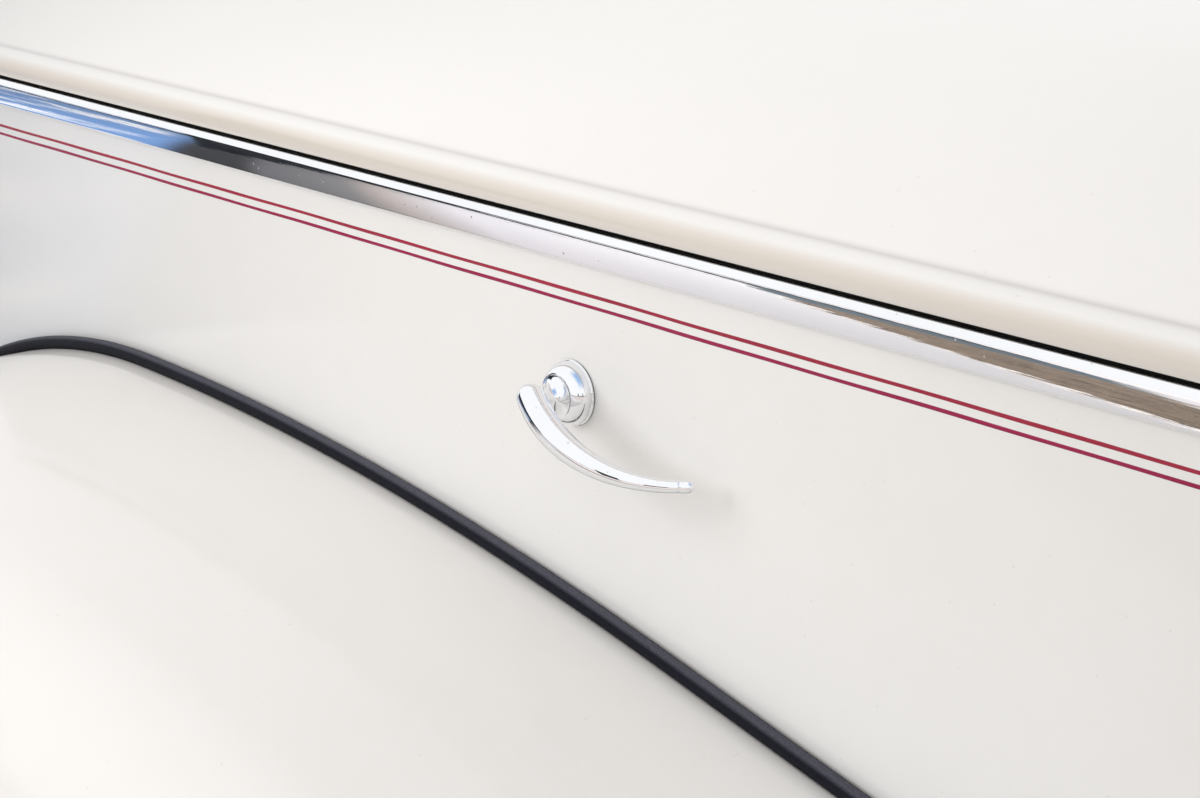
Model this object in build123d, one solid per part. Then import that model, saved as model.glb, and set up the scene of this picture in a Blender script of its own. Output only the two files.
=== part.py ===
from build123d import *
import os
from math import asin, cos, degrees, radians, sin, sqrt

# Left front wing of an open car, with the bonnet side panel bolted to it and the bonnet lid above them.
# A lever on the side panel turns a crank, which slides a bar of claws over the catches under the lid.
# X runs rearward, Y inboard and Z up. Pieces are drawn from the side panel's outer face, at the lever's
# height, and are moved sideways at the end so that the origin is at the rear bolts.

# Bonnet lid: an edge bead, then a crown of two arcs that widens from front to rear
bonnet_length = 1360
lid_skin = 1.5
lid_edge_z = 109.5
crease_y = 8
crease_z = 129.5
edge_bead_radius = 15
edge_lip_y = -5.5
rear_half_width = 400
rear_peak_z = 240
front_half_width = 317
front_peak_z = 222
crown_start = 42
crown_break = 20

# Side panel with its top ledge, moulding and stiffener
panel_skin = 1.5
panel_top_z = 105.5
panel_ledge = 14
moulding_height = 22
moulding_proud = 5
moulding_bevel = 3.5
stiffener_z = -62
stiffener_height = 32
stiffener_depth = 12

# Wing: its joint line with the side panel, from the tail forward, and its section
tail_end_x = 60
crest_rear_x = -1040
crest_front_x = -1045
crest_z = -90
tail_radius = 3250
tail_slope = 11
fall_radius = 725
fall_slope = 32
nose_radius = 430
nose_slope = 85
nose_drop = 150
wing_skin = 1.5
wing_bend = 7
wing_top_radius = 1540
wing_top_turn = 8.7
wing_shoulder_radius = 115
sill_z = -700
wheel_x = -1112
wheel_z = -660
arch_radius = 370
arch_lip = 4.5

# Piping between wing and panel
bead_radius = 5.5
bead_clearance = 0.2
tail_thickness = 3
flange_depth = 26
flange_cover = 4

# Arches that carry the lid at both ends, their landing tape and the lid's seal
arch_skin = 2
arch_depth = 45
arch_ledge = 42
rear_arch_foot_z = -330
front_arch_foot_z = -260
tape_thickness = 3
seat_gap = 0.3
seal_width = 8

# Centre hinge and the rail that holds it
knuckle_radius = 4
hinge_pin_radius = 2.5
hinge_fit = 0.05
hinge_drop = 0.5
knuckle_count = 20
knuckle_gap = 0.4
leaf_width = 30
leaf_thickness = 2
hinge_side_gap = 6
centre_rail_width = 40
centre_rail_depth = 22

# Lid frame
rail_skin = 2
rail_inner_y = 45
bow_width = 28
bow_depth = 12
bow_places = (-450, -910)

# Lever, its base and spindle; out means away from the panel
handle_x = -520
base_radius = 21
base_rim = 1.4
base_height = 13
base_top_radius = 15
base_bulge = 1.7
gasket_thickness = 0.6
gasket_inset = 0.4
neck_foot_radius = 14.5
neck_radius = 6.5
elbow_out = 34.5
elbow_radius = 7.4
arm_middle = (66, 40.3, -23.7)
arm_end = (129.7, 19.7, -24.9)
arm_radii = (7.1, 6.6, 4.8, 3.8)
spindle_radius = 6
spindle_fit = 0.05
spindle_in_lever = 8

# Lock: crank, sliding bar, claws, guides and catches
crank_radius = 25
crank_start = -30
crank_thickness = 4
crank_hub = 12
crank_pin_radius = 4
bearing_length = 25
bearing_radius = 12
bearing_flange = 22
bearing_flange_thickness = 4
bar_y = 32
bar_thickness = 4
bar_z = 44
bar_height = 12
bar_front_x = -1290
bar_rear_x = -75
yoke_slack = 0.5
yoke_width = 32
claw_post = 8
claw_reach = 28
claw_height = 6
claw_z = 86
claw_places = (-1190, -760, -210)
catch_gap_x = 5
catch_length = 20
catch_gap_z = 2
catch_height = 8
catch_y = (29, 40)
catch_plate = 3
guide_places = (-1255, -900, -430, -110)
guide_width = 12
guide_wall = 3
guide_foot = 10

# Inner valance, wing stays and splash panel
valance_skin = 2
valance_bottom_z = -420
valance_flange = 55
valance_lap = 14
stay_places = ((-1262, -289), (-760, -330))
stay_radius = 12.5
stay_wall = 2
stay_pad_radius = 20
stay_pad = 4
splash_x = -700
splash_skin = 1.5
splash_lap = 10

# Fixing holes
bolt_radius = 4.25
bolt_inset = 25
side_bolt_spacing = 120
top_bolt_spacing = 80
top_bolt_y = 330
top_bolt_z = 210
chassis_bolt_spacing = 1100
chassis_bolt_inset = 32

wing_flange_y = -tail_thickness
bend_centre_depth = sqrt((bead_radius + wing_bend + bead_clearance) ** 2
                         - (tail_thickness + wing_bend - bead_radius - bead_clearance) ** 2)
wing_top_depth = bend_centre_depth - wing_bend
wing_top_width = wing_top_radius * sin(radians(wing_top_turn))
wing_side_width = (tail_thickness + wing_bend + wing_top_width
                   + wing_shoulder_radius * (1 - sin(radians(wing_top_turn))))
wing_side_depth = (wing_top_depth + wing_top_radius * (1 - cos(radians(wing_top_turn)))
                   + wing_shoulder_radius * cos(radians(wing_top_turn)))
ledge_depth = lid_skin + seat_gap + tape_thickness
leaf_bottom = lid_skin + seat_gap + leaf_thickness
beyond = 3 * bonnet_length


def block(x, y, z):
    # A block between two values along each axis.
    size = (abs(x[1] - x[0]), abs(y[1] - y[0]), abs(z[1] - z[0]))
    return Pos((x[0] + x[1]) / 2, (y[0] + y[1]) / 2, (z[0] + z[1]) / 2) * Box(*size)


def rod(x, z, y, radius):
    # A round bar along Y, centred at x and z.
    return Pos(x, (y[0] + y[1]) / 2, z) * Rot(90, 0, 0) * Cylinder(radius, abs(y[1] - y[0]))


def along_x(x, outline):
    # A section drawn in Y and Z, carried from one x to another.
    face = make_face(Polyline(*[(x[0], y, z) for y, z in outline], close=True))
    return extrude(face, amount=x[1] - x[0], dir=(1, 0, 0))


def through_y(edges, y):
    # An outline drawn in X and Z at y = 0, made into a sheet between two values of y.
    return Pos(0, y[0], 0) * extrude(make_face(edges), amount=y[1] - y[0], dir=(0, 1, 0))


def crown_radii(x):
    # Radii of the steep and the flat arc, which join the crease to the peak of the section at x.
    share = -x / bonnet_length
    across = rear_half_width + (front_half_width - rear_half_width) * share - crease_y
    rise = rear_peak_z + (front_peak_z - rear_peak_z) * share - crease_z
    steep, middle = radians(crown_start), radians(crown_break)
    a, b = sin(steep) - sin(middle), sin(middle)
    c, d = cos(middle) - cos(steep), 1 - cos(middle)
    determinant = a * d - b * c
    return (across * d - b * rise) / determinant, (a * rise - c * across) / determinant


def crown_point(x, slope, depth):
    # The point where the lid's section at x has this slope in degrees, at a depth below its surface.
    steep_radius, flat_radius = crown_radii(x)
    first, turn, angle = radians(crown_start), radians(crown_break), radians(slope)
    centre_y = crease_y + steep_radius * sin(first)
    centre_z = crease_z - steep_radius * cos(first)
    radius = steep_radius
    if slope < crown_break:
        centre_y += (flat_radius - steep_radius) * sin(turn)
        centre_z -= (flat_radius - steep_radius) * cos(turn)
        radius = flat_radius
    return (x, centre_y - (radius - depth) * sin(angle), centre_z + (radius - depth) * cos(angle))


def slope_from_peak(x, distance):
    # The slope of the lid's section at a distance outboard of its peak.
    return degrees(asin(distance / crown_radii(x)[1]))


def slope_at_y(x, y, depth):
    # The slope of the steep arc where it is at y, at a depth below the surface.
    steep_radius = crown_radii(x)[0]
    centre_y = crease_y + steep_radius * sin(radians(crown_start))
    return degrees(asin((centre_y - y) / (steep_radius - depth)))


def crown_arcs(x, depth, start, end):
    # The section's arcs from one slope to a smaller one.
    stops = [start, crown_break, end] if start > crown_break > end else [start, end]
    arcs = []
    for first, last in zip(stops, stops[1:]):
        middle = (first + last) / 2
        arcs.append(ThreePointArc(*[crown_point(x, slope, depth) for slope in (first, middle, last)]))
    return arcs


def crown_band(x, depths, slopes, past=0):
    # The section between two depths and two slopes, with an optional level run past the peak.
    edges = []
    ends = []
    for depth in depths:
        arcs = crown_arcs(x, depth, *slopes)
        end = crown_point(x, slopes[1], depth)
        if past:
            run_end = (x, end[1] + past, end[2])
            arcs.append(Line(end, run_end))
            end = run_end
        edges += arcs
        ends.append((crown_point(x, slopes[0], depth), end))
    edges.append(Line(ends[0][0], ends[1][0]))
    edges.append(Line(ends[0][1], ends[1][1]))
    return make_face(edges)


def crown_strip(x, depths, slopes, past=0):
    # A band of the lid's form between two values of x. Slopes are two numbers or a function of x.
    pick = slopes if callable(slopes) else (lambda place: slopes)
    return loft([crown_band(place, depths, pick(place), past) for place in x], ruled=True)


def wing_line(depth):
    # The joint line, moved down square to itself by depth: tail, crest, fall and nose, from rear to front.
    def swing(centre, radius, slope):
        return (centre[0] + radius * sin(radians(slope)), 0, centre[1] + radius * cos(radians(slope)))

    tail_centre = (crest_rear_x, crest_z - tail_radius)
    fall_centre = (crest_front_x, crest_z - fall_radius)
    nose_x, _, nose_z = swing(fall_centre, fall_radius - nose_radius, -fall_slope)
    nose_centre = (nose_x, nose_z)

    def arc(centre, radius, first, last):
        places = (first, (first + last) / 2, last)
        return ThreePointArc(*[swing(centre, radius - depth, slope) for slope in places])

    tail_start = swing(tail_centre, tail_radius - depth, tail_slope)
    run = tail_end_x - crest_rear_x
    tail, nose = radians(tail_slope), radians(nose_slope)
    tail_end = (tail_start[0] + run * cos(tail), 0, tail_start[2] - run * sin(tail))
    nose_end = swing(nose_centre, nose_radius - depth, -nose_slope)
    tip = (nose_end[0] - nose_drop * cos(nose), 0, nose_end[2] - nose_drop * sin(nose))
    return [
        Line(tail_end, tail_start),
        arc(tail_centre, tail_radius, tail_slope, 0),
        Line((crest_rear_x, 0, crest_z - depth), (crest_front_x, 0, crest_z - depth)),
        arc(fall_centre, fall_radius, 0, -fall_slope),
        arc(nose_centre, nose_radius, -fall_slope, -nose_slope),
        Line(nose_end, tip),
    ]


def wing_height(x, depth):
    # Height of the joint line, moved down by depth, over the arc behind its crest.
    return crest_z - tail_radius + sqrt((tail_radius - depth) ** 2 - (x - crest_rear_x) ** 2)


def below_line(depth, bottom):
    # The outline from the joint line, moved down by depth, down or up to a level edge.
    line = wing_line(depth)
    rear, front = line[0] @ 0, line[-1] @ 1
    corners = [(front.X, 0, front.Z), (front.X, 0, bottom), (rear.X, 0, bottom), (rear.X, 0, rear.Z)]
    return line + [Line(*pair) for pair in zip(corners, corners[1:])]


def section_plane():
    # The plane square to the joint line at its rear end: x outboard, y up.
    line = wing_line(0)[0]
    return Plane(origin=line @ 0, x_dir=(0, -1, 0), z_dir=line % 0)


def carried(face):
    return sweep(section_plane() * face, path=Wire(wing_line(0)))


def wing_curve(inset):
    # The wing's section outboard of the flange, inset square to its surface.
    turn = radians(wing_top_turn)
    bend_x = tail_thickness + wing_bend
    bend_y = -bend_centre_depth
    bend = wing_bend - inset
    top_y = -wing_top_depth - wing_top_radius
    top = wing_top_radius - inset
    joint = (bend_x + top * sin(turn), top_y + top * cos(turn))
    shoulder_x = bend_x + (wing_top_radius - wing_shoulder_radius) * sin(turn)
    shoulder_y = top_y + (wing_top_radius - wing_shoulder_radius) * cos(turn)
    shoulder = wing_shoulder_radius - inset
    half, middle = turn / 2, (turn + radians(90)) / 2
    return [
        ThreePointArc((bend_x - bend, bend_y),
                      (bend_x - bend * sin(radians(45)), bend_y + bend * cos(radians(45))),
                      (bend_x, bend_y + bend)),
        ThreePointArc((bend_x, bend_y + bend), (bend_x + top * sin(half), top_y + top * cos(half)), joint),
        ThreePointArc(joint,
                      (shoulder_x + shoulder * sin(middle), shoulder_y + shoulder * cos(middle)),
                      (shoulder_x + shoulder, shoulder_y)),
    ]


def wing_profile():
    # The thin section: bolting flange, bend, top and shoulder.
    outer, inner = wing_curve(0), wing_curve(wing_skin)
    first, last = outer[0] @ 0, inner[0] @ 0
    end_outer, end_inner = outer[-1] @ 1, inner[-1] @ 1
    flange = Polyline((first.X, first.Y), (first.X, -flange_depth), (last.X, -flange_depth), (last.X, last.Y))
    return make_face(outer + inner + [flange, Line((end_outer.X, end_outer.Y), (end_inner.X, end_inner.Y))])


def wing():
    # The top and the side are each cut to their ends first, and then joined.
    keep = block((-beyond, tail_end_x), (-beyond, beyond), (sill_z, beyond))
    keep -= block((-beyond, wheel_x), (-beyond, beyond), (-beyond, wheel_z))
    top = carried(wing_profile()) & keep
    side = through_y(below_line(wing_side_depth, sill_z), (-wing_side_width, wing_skin - wing_side_width)) & keep
    side -= rod(wheel_x, wheel_z, (-wing_side_width - 5, -wing_side_width + 5), arch_radius)
    lip_path = CenterArc((0, 0), arch_radius + arch_lip / 2, 0, 180)
    lip_centre = (wheel_x, wing_skin / 2 - wing_side_width, wheel_z)
    lip_edge = Plane(origin=lip_centre, x_dir=(1, 0, 0), z_dir=(0, -1, 0)) * lip_path
    lip = sweep(Plane(origin=lip_edge @ 0, z_dir=lip_edge % 0) * Circle(arch_lip), path=lip_edge)
    return top + side + lip


def bonnet_span(piece):
    return piece & block((-bonnet_length, 0), (-beyond, beyond), (-beyond, beyond))


def wing_piping():
    bead = Pos(bead_radius + bead_clearance, 0) * Circle(bead_radius)
    top = -bead_radius / 4
    tail = Pos(tail_thickness / 2, (top - flange_depth) / 2) * Rectangle(tail_thickness, flange_depth + top)
    return bonnet_span(carried(bead + tail))


def side_panel():
    sheet = bonnet_span(through_y(below_line(flange_depth + flange_cover, panel_top_z), (0, panel_skin)))
    span = (arch_ledge - bonnet_length, -arch_ledge)
    ledge = block(span, (0, panel_ledge), (panel_top_z - panel_skin, panel_top_z))
    hole = rod(handle_x, 0, (-5, 5), spindle_radius + 1)
    return sheet + ledge - hole


def side_moulding():
    low = panel_top_z - moulding_height
    high = panel_top_z - moulding_bevel
    front = ThreePointArc((0, -moulding_proud, high), (0, -moulding_proud - 0.3, (low + high) / 2),
                          (0, 0.8 - moulding_proud, low + 1))
    edges = [Polyline((0, 0.8 - moulding_proud, low + 1), (0, 1.6 - moulding_proud, low), (0, 0, low),
                      (0, 0, panel_top_z), (0, -moulding_proud, high)), front]
    return extrude(make_face(edges), amount=bonnet_length, dir=(-1, 0, 0))


def side_stiffener():
    foot, wall = 8, panel_skin
    low, high = stiffener_z - stiffener_height / 2, stiffener_z + stiffener_height / 2
    inner = panel_skin + stiffener_depth
    outline = [(panel_skin, low - foot), (panel_skin, low), (inner - wall, low + 3), (inner - wall, high - 3),
               (panel_skin, high), (panel_skin, high + foot), (panel_skin + wall, high + foot),
               (panel_skin + wall, high + 1), (inner, high - 3 + wall), (inner, low + 3 - wall),
               (panel_skin + wall, low - 1), (panel_skin + wall, low - foot)]
    return along_x((arch_ledge + 15 - bonnet_length, -arch_ledge - 15), outline)


def lip_y(z, depth):
    # Where the turned-in lip below the edge bead is at z, at a depth inside its outer face.
    bulge_y = crease_y - edge_bead_radius
    bulge_z = crease_z - edge_bead_radius
    drop = bulge_z - lid_edge_z
    step = edge_lip_y - bulge_y
    radius = (step ** 2 + drop ** 2) / (2 * step)
    return bulge_y + radius - sqrt((radius - depth) ** 2 - (bulge_z - z) ** 2)


def lid_section(x):
    # The closed section of the lid's skin: edge bead, crease and crown, and back along the inside.
    bulge_y = crease_y - edge_bead_radius
    bulge_z = crease_z - edge_bead_radius
    middle_z = (bulge_z + lid_edge_z) / 2

    def edge_arcs(depth):
        quarter = edge_bead_radius - depth
        low = (x, lip_y(lid_edge_z, depth), lid_edge_z)
        half = (x, lip_y(middle_z, depth), middle_z)
        side = (x, bulge_y + depth, bulge_z)
        turn = (x, crease_y - quarter * cos(radians(45)), bulge_z + quarter * sin(radians(45)))
        crease = (x, crease_y, crease_z - depth)
        return low, crease, [ThreePointArc(low, half, side), ThreePointArc(side, turn, crease)]

    slopes = (crown_start, slope_from_peak(x, hinge_side_gap))
    outer_low, _, outer = edge_arcs(0)
    inner_low, inner_crease, inner = edge_arcs(lid_skin)
    edges = outer + crown_arcs(x, 0, *slopes)
    edges.append(Line(crown_point(x, slopes[1], 0), crown_point(x, slopes[1], lid_skin)))
    edges += crown_arcs(x, lid_skin, *slopes)
    edges.append(Line(crown_point(x, slopes[0], lid_skin), inner_crease))
    edges += inner
    edges.append(Line(inner_low, outer_low))
    return make_face(edges)


def lid_skin_panel():
    return loft([lid_section(-bonnet_length), lid_section(0)], ruled=True)


def lid_edge_rail():
    ends = (arch_ledge + 8 - bonnet_length, -arch_ledge - 8)
    outer = lip_y(lid_edge_z, lid_skin) + seat_gap
    inner_face = rail_inner_y - rail_skin
    top = min(crown_point(x, slope_at_y(x, inner_face, lid_skin), lid_skin)[2]
              for x in (-bonnet_length, 0)) - seat_gap
    outline = [(outer, lid_edge_z), (rail_inner_y, lid_edge_z), (rail_inner_y, top), (inner_face, top),
               (inner_face, lid_edge_z + rail_skin), (outer, lid_edge_z + rail_skin)]
    return along_x(ends, outline)


def lid_bows():
    # Each bow is a channel under the skin, from the edge rail to the hinge leaf.
    def reach(x):
        return (slope_at_y(x, rail_inner_y + 12, lid_skin), slope_from_peak(x, leaf_width + 15))

    bows = []
    for x in bow_places:
        deep = (lid_skin + seat_gap, lid_skin + bow_depth)
        walls = [crown_strip((x + start, x + start + rail_skin), deep, reach)
                 for start in (0, bow_width - rail_skin)]
        base = crown_strip((x, x + bow_width), (deep[1] - rail_skin, deep[1]), reach)
        bows.append(walls[0] + walls[1] + base)
    return bows[0] + bows[1]


def hinge_frame():
    # The frame on the lid's peak line: x forward along it, z up from it.
    rear = Vector(0, rear_half_width, rear_peak_z)
    front = Vector(-bonnet_length, front_half_width, front_peak_z)
    along = (front - rear).normalized()
    return Plane(origin=rear, x_dir=along, z_dir=Vector(along.Z, 0, -along.X))


def hinge_length():
    narrowing, fall = rear_half_width - front_half_width, rear_peak_z - front_peak_z
    return sqrt(bonnet_length ** 2 + narrowing ** 2 + fall ** 2)


def hinge_block(x, inboard, z):
    # A block in the hinge's frame; inboard is measured from the pin.
    side = 1 if (hinge_frame().y_dir.Y > 0) else -1
    return hinge_frame() * block(x, (side * inboard[0], side * inboard[1]), z)


def hinge_rod(x, radius):
    middle = (x[0] + x[1]) / 2
    return hinge_frame() * Pos(middle, 0, -hinge_drop) * Rot(0, 90, 0) * Cylinder(radius, x[1] - x[0])


def knuckles(first, side):
    # Every other knuckle, each with the tongue that joins it to its leaf on one side.
    pitch = hinge_length() / knuckle_count
    row = None
    for place in range(first, knuckle_count, 2):
        span = (place * pitch + knuckle_gap / 2, (place + 1) * pitch - knuckle_gap / 2)
        knuckle = hinge_rod(span, knuckle_radius)
        depth = (-leaf_bottom, 0.8 * leaf_thickness - leaf_bottom)
        tongue = hinge_block(span, (0, side * (hinge_side_gap + 2)), depth)
        piece = knuckle + tongue
        row = piece if row is None else row + piece
    return row


def hinge_bore():
    return hinge_rod((-20, hinge_length() + 20), hinge_pin_radius + hinge_fit)


def hinge_leaf():
    def strip(x):
        return (slope_from_peak(x, leaf_width), slope_from_peak(x, hinge_side_gap))

    leaf = crown_strip((-bonnet_length, 0), (lid_skin + seat_gap, leaf_bottom), strip)
    return bonnet_span(leaf + knuckles(1, -1) - hinge_bore())


def centre_rail():
    inboard = (hinge_side_gap, hinge_side_gap + centre_rail_width)
    rail = hinge_block((-5, hinge_length() + 5), inboard, (seat_gap - ledge_depth, -lid_skin))
    legs = (arch_ledge + 4, hinge_length() - arch_ledge - 8)
    for near in (inboard[0], inboard[1] - rail_skin):
        rail += hinge_block(legs, (near, near + rail_skin), (-ledge_depth - centre_rail_depth, -lid_skin - 1))
    return bonnet_span(rail + knuckles(0, 1) - hinge_bore())


def hinge_pin():
    return bonnet_span(hinge_rod((-5, hinge_length() + 5), hinge_pin_radius))


def arch(x_web, x_ledge, foot_z):
    # An end arch: a deep web at the end and a ledge that the lid lands on, both down to a foot.
    def leg(depth):
        start_outer = crown_point(x_web[0], crown_start, ledge_depth)
        start_inner = crown_point(x_web[0], crown_start, ledge_depth + depth)
        knee = lid_edge_z - 2
        inner_knee = min(knee, start_inner[2]) - depth / 6
        return [(panel_skin, foot_z), (panel_skin, knee), start_outer[1:], start_inner[1:],
                (panel_skin + depth, inner_knee), (panel_skin + depth, foot_z)]

    past = hinge_side_gap + centre_rail_width + 4
    slopes = (crown_start, 0)
    web = (crown_strip(x_web, (ledge_depth, ledge_depth + arch_depth), slopes, past)
           + along_x(x_web, leg(arch_depth)))
    ledge = (crown_strip(x_ledge, (ledge_depth, ledge_depth + arch_skin), slopes, past)
             + along_x(x_ledge, leg(arch_skin)))
    return web + ledge


def bolt_hole(x, y, z):
    return Pos(x, y, z) * Rot(0, 90, 0) * Cylinder(bolt_radius, 20)


def rear_arch():
    piece = arch((-arch_skin, 0), (-arch_ledge, 0), rear_arch_foot_z)
    for side in (-0.5, 0.5):
        piece -= bolt_hole(0, bolt_inset, side * side_bolt_spacing)
        piece -= bolt_hole(0, top_bolt_y + side * top_bolt_spacing, top_bolt_z)
    return piece


def front_arch():
    front = -bonnet_length
    piece = arch((front, front + arch_skin), (front, front + arch_ledge), front_arch_foot_z)
    for side in (-0.5, 0.5):
        piece -= bolt_hole(front, bolt_inset, side * side_bolt_spacing)
    return piece


def landing_tapes():
    def cover(x):
        return (crown_start - 3, slope_from_peak(x, leaf_width + 8))

    depths = (lid_skin + seat_gap, ledge_depth - seat_gap)
    spans = ((4 - arch_ledge, -6), (6 - bonnet_length, arch_ledge - 4 - bonnet_length))
    tapes = [crown_strip(span, depths, cover) for span in spans]
    return tapes[0] + tapes[1]


def lid_seal():
    low, high = panel_top_z, lid_edge_z - seat_gap
    middle = panel_skin + 1.5 + seal_width / 2
    left, right = middle - seal_width / 2, middle + seal_width / 2
    shoulder = low + 1.5
    x = -arch_ledge - 2
    edges = [Polyline((x, left, shoulder), (x, left, low), (x, right, low), (x, right, shoulder)),
             ThreePointArc((x, right, shoulder), (x, middle, high), (x, left, shoulder))]
    return extrude(make_face(edges), amount=bonnet_length - 2 * (arch_ledge + 2), dir=(-1, 0, 0))


def turned(points, arcs):
    # A solid turned about the lever's axis from an outline of radius and distance out.
    edges = [Line(*[(handle_x + r, -out, 0) for r, out in pair]) for pair in points]
    edges += [ThreePointArc(*[(handle_x + r, -out, 0) for r, out in arc]) for arc in arcs]
    return revolve(make_face(edges), axis=Axis((handle_x, 0, 0), (0, 1, 0)))


def base_gasket():
    ring = rod(handle_x, 0, (-gasket_thickness, 0), base_radius - gasket_inset)
    return ring - rod(handle_x, 0, (-5, 5), spindle_radius + 1)


def handle_base():
    low = gasket_thickness
    rim = low + base_rim
    high = low + base_height
    bore = spindle_radius + 0.4
    bulge = (base_radius + base_top_radius) / 2 + base_bulge, (rim + high) / 2 + base_bulge / 2
    return turned(
        [((bore, low), (base_radius, low)), ((base_radius, low), (base_radius, rim)),
         ((base_radius, rim), (base_radius - 1, rim)), ((base_top_radius, high), (bore, high)),
         ((bore, high), (bore, low))],
        [((base_radius - 1, rim), bulge, (base_top_radius, high))])


def arm_path():
    points = [(0, elbow_out, 0), arm_middle, arm_end]
    return ThreePointArc(*[(handle_x + x, -out, z) for x, out, z in points])


def handle_lever():
    foot = gasket_thickness + base_height + seat_gap
    socket = spindle_radius + spindle_fit
    top = foot + spindle_in_lever + 2
    neck = turned(
        [((socket, foot), (neck_foot_radius, foot)),
         ((neck_foot_radius, foot), (neck_foot_radius, foot + 1.2)),
         ((neck_radius, elbow_out - 3), (neck_radius, elbow_out)), ((neck_radius, elbow_out), (0, elbow_out)),
         ((0, elbow_out), (0, top)), ((0, top), (socket, top)), ((socket, top), (socket, foot))],
        [((neck_foot_radius, foot + 1.2), (neck_radius + 1.9, foot + 8.5), (neck_radius, elbow_out - 3))])
    path = arm_path()
    places = (0, 0.4, 0.75, 1)
    sections = [Plane(origin=path @ place, z_dir=path % place) * Circle(radius)
                for place, radius in zip(places, arm_radii)]
    arm = sweep(sections, path=path, multisection=True)
    elbow = Pos(handle_x, -elbow_out, 0) * Sphere(elbow_radius)
    tip_end = path @ 1
    tip = Pos(tip_end.X, tip_end.Y, tip_end.Z) * Sphere(arm_radii[-1])
    return neck + elbow + arm + tip


def crank_y():
    start = panel_skin + bearing_length + 0.5
    return start, start + crank_thickness


def spindle():
    foot = gasket_thickness + base_height + seat_gap
    return rod(handle_x, 0, (-foot - spindle_in_lever, crank_y()[1]), spindle_radius)


def latch_bearing():
    barrel = rod(handle_x, 0, (panel_skin, panel_skin + bearing_length), bearing_radius)
    flange = rod(handle_x, 0, (panel_skin, panel_skin + bearing_flange_thickness), bearing_flange)
    bore = rod(handle_x, 0, (-1, panel_skin + bearing_length + 1), spindle_radius + spindle_fit)
    return barrel + flange - bore


def crank_pin_place():
    angle = radians(crank_start)
    return handle_x + crank_radius * sin(angle), crank_radius * cos(angle)


def crank():
    x, z = crank_pin_place()
    near, far = crank_y()
    pin_end = crank_pin_radius + 3
    arm = make_hull([(Pos(handle_x, 0) * Circle(crank_hub)).edge(), (Pos(x, z) * Circle(pin_end)).edge()])
    flat = Plane(origin=(0, near, 0), x_dir=(1, 0, 0), z_dir=(0, -1, 0)) * arm
    plate = extrude(flat, amount=-crank_thickness)
    pin = rod(x, z, (near, bar_y + bar_thickness + 4), crank_pin_radius)
    return plate + pin - rod(handle_x, 0, (near - 1, far + 1), spindle_radius + spindle_fit)


def lock_bar():
    deep = (bar_y, bar_y + bar_thickness)
    bar = block((bar_front_x, bar_rear_x), deep, (bar_z, bar_z + bar_height))
    slot_x, _ = crank_pin_place()
    low = crank_radius * cos(radians(crank_start)) - crank_pin_radius - 1.5
    high = crank_radius + crank_pin_radius + 1.5
    slot = (slot_x - crank_pin_radius - yoke_slack, slot_x + crank_pin_radius + yoke_slack)
    yoke = block((slot_x - yoke_width / 2, slot_x + yoke_width / 2), deep, (low - 5, bar_z))
    bar += yoke - block(slot, (bar_y - 1, bar_y + bar_thickness + 1), (low, high))
    for x in claw_places:
        bar += block((x - claw_post, x), deep, (bar_z + bar_height, claw_z + claw_height))
        bar += block((x - claw_post, x + claw_reach), (bar_y - 2, bar_y + bar_thickness + 1),
                     (claw_z, claw_z + claw_height))
    return bar


def lock_guides():
    low, high = bar_z - seat_gap, bar_z + bar_height + seat_gap
    near, far = bar_y - seat_gap, bar_y + bar_thickness + seat_gap
    guides = None
    for x in guide_places:
        span = (x - guide_width / 2, x + guide_width / 2)
        wide = (span[0] - 1, span[1] + 1)
        guide = block(span, (panel_skin, far + guide_wall), (low - guide_wall, high + guide_wall))
        guide -= block(wide, (near, far), (low, high))
        guide -= block(wide, (panel_skin + guide_wall, near - guide_wall), (low, high))
        foot = (low - guide_wall - guide_foot, high + guide_wall + guide_foot)
        guide += block(span, (panel_skin, panel_skin + guide_wall), foot)
        guides = guide if guides is None else guides + guide
    return guides


def lid_catches():
    low = claw_z - catch_gap_z - catch_height
    catches = None
    for x in claw_places:
        start = x + claw_reach + catch_gap_x
        span = (start, start + catch_length)
        tongue = block(span, catch_y, (low, low + catch_height))
        plate = block(span, (catch_y[1], catch_y[1] + catch_plate), (low, lid_edge_z))
        catch = tongue + plate
        catches = catch if catches is None else catches + catch
    return catches


def inner_valance():
    sheet = through_y(below_line(valance_lap, valance_bottom_z), (panel_skin, panel_skin + valance_skin))
    span = (arch_ledge - bonnet_length, -arch_ledge)
    sheet = sheet & block(span, (-beyond, beyond), (valance_bottom_z, beyond))
    flange = block(span, (panel_skin, panel_skin + valance_flange),
                   (valance_bottom_z, valance_bottom_z + valance_skin))
    piece = sheet + flange
    for side in (-0.5, 0.5):
        piece -= (Pos(-bonnet_length / 2 + side * chassis_bolt_spacing, chassis_bolt_inset, valance_bottom_z)
                  * Cylinder(bolt_radius, 20))
    return piece


def wing_stays():
    outer = wing_skin - wing_side_width
    stays = None
    for x, z in stay_places:
        stay = rod(x, z, (outer, panel_skin), stay_radius)
        stay += rod(x, z, (outer, outer + stay_pad), stay_pad_radius)
        stay += rod(x, z, (panel_skin - stay_pad, panel_skin), stay_pad_radius)
        stay -= rod(x, z, (outer - 1, panel_skin + 1), stay_radius - stay_wall)
        stays = stay if stays is None else stays + stay
    return stays


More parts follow.
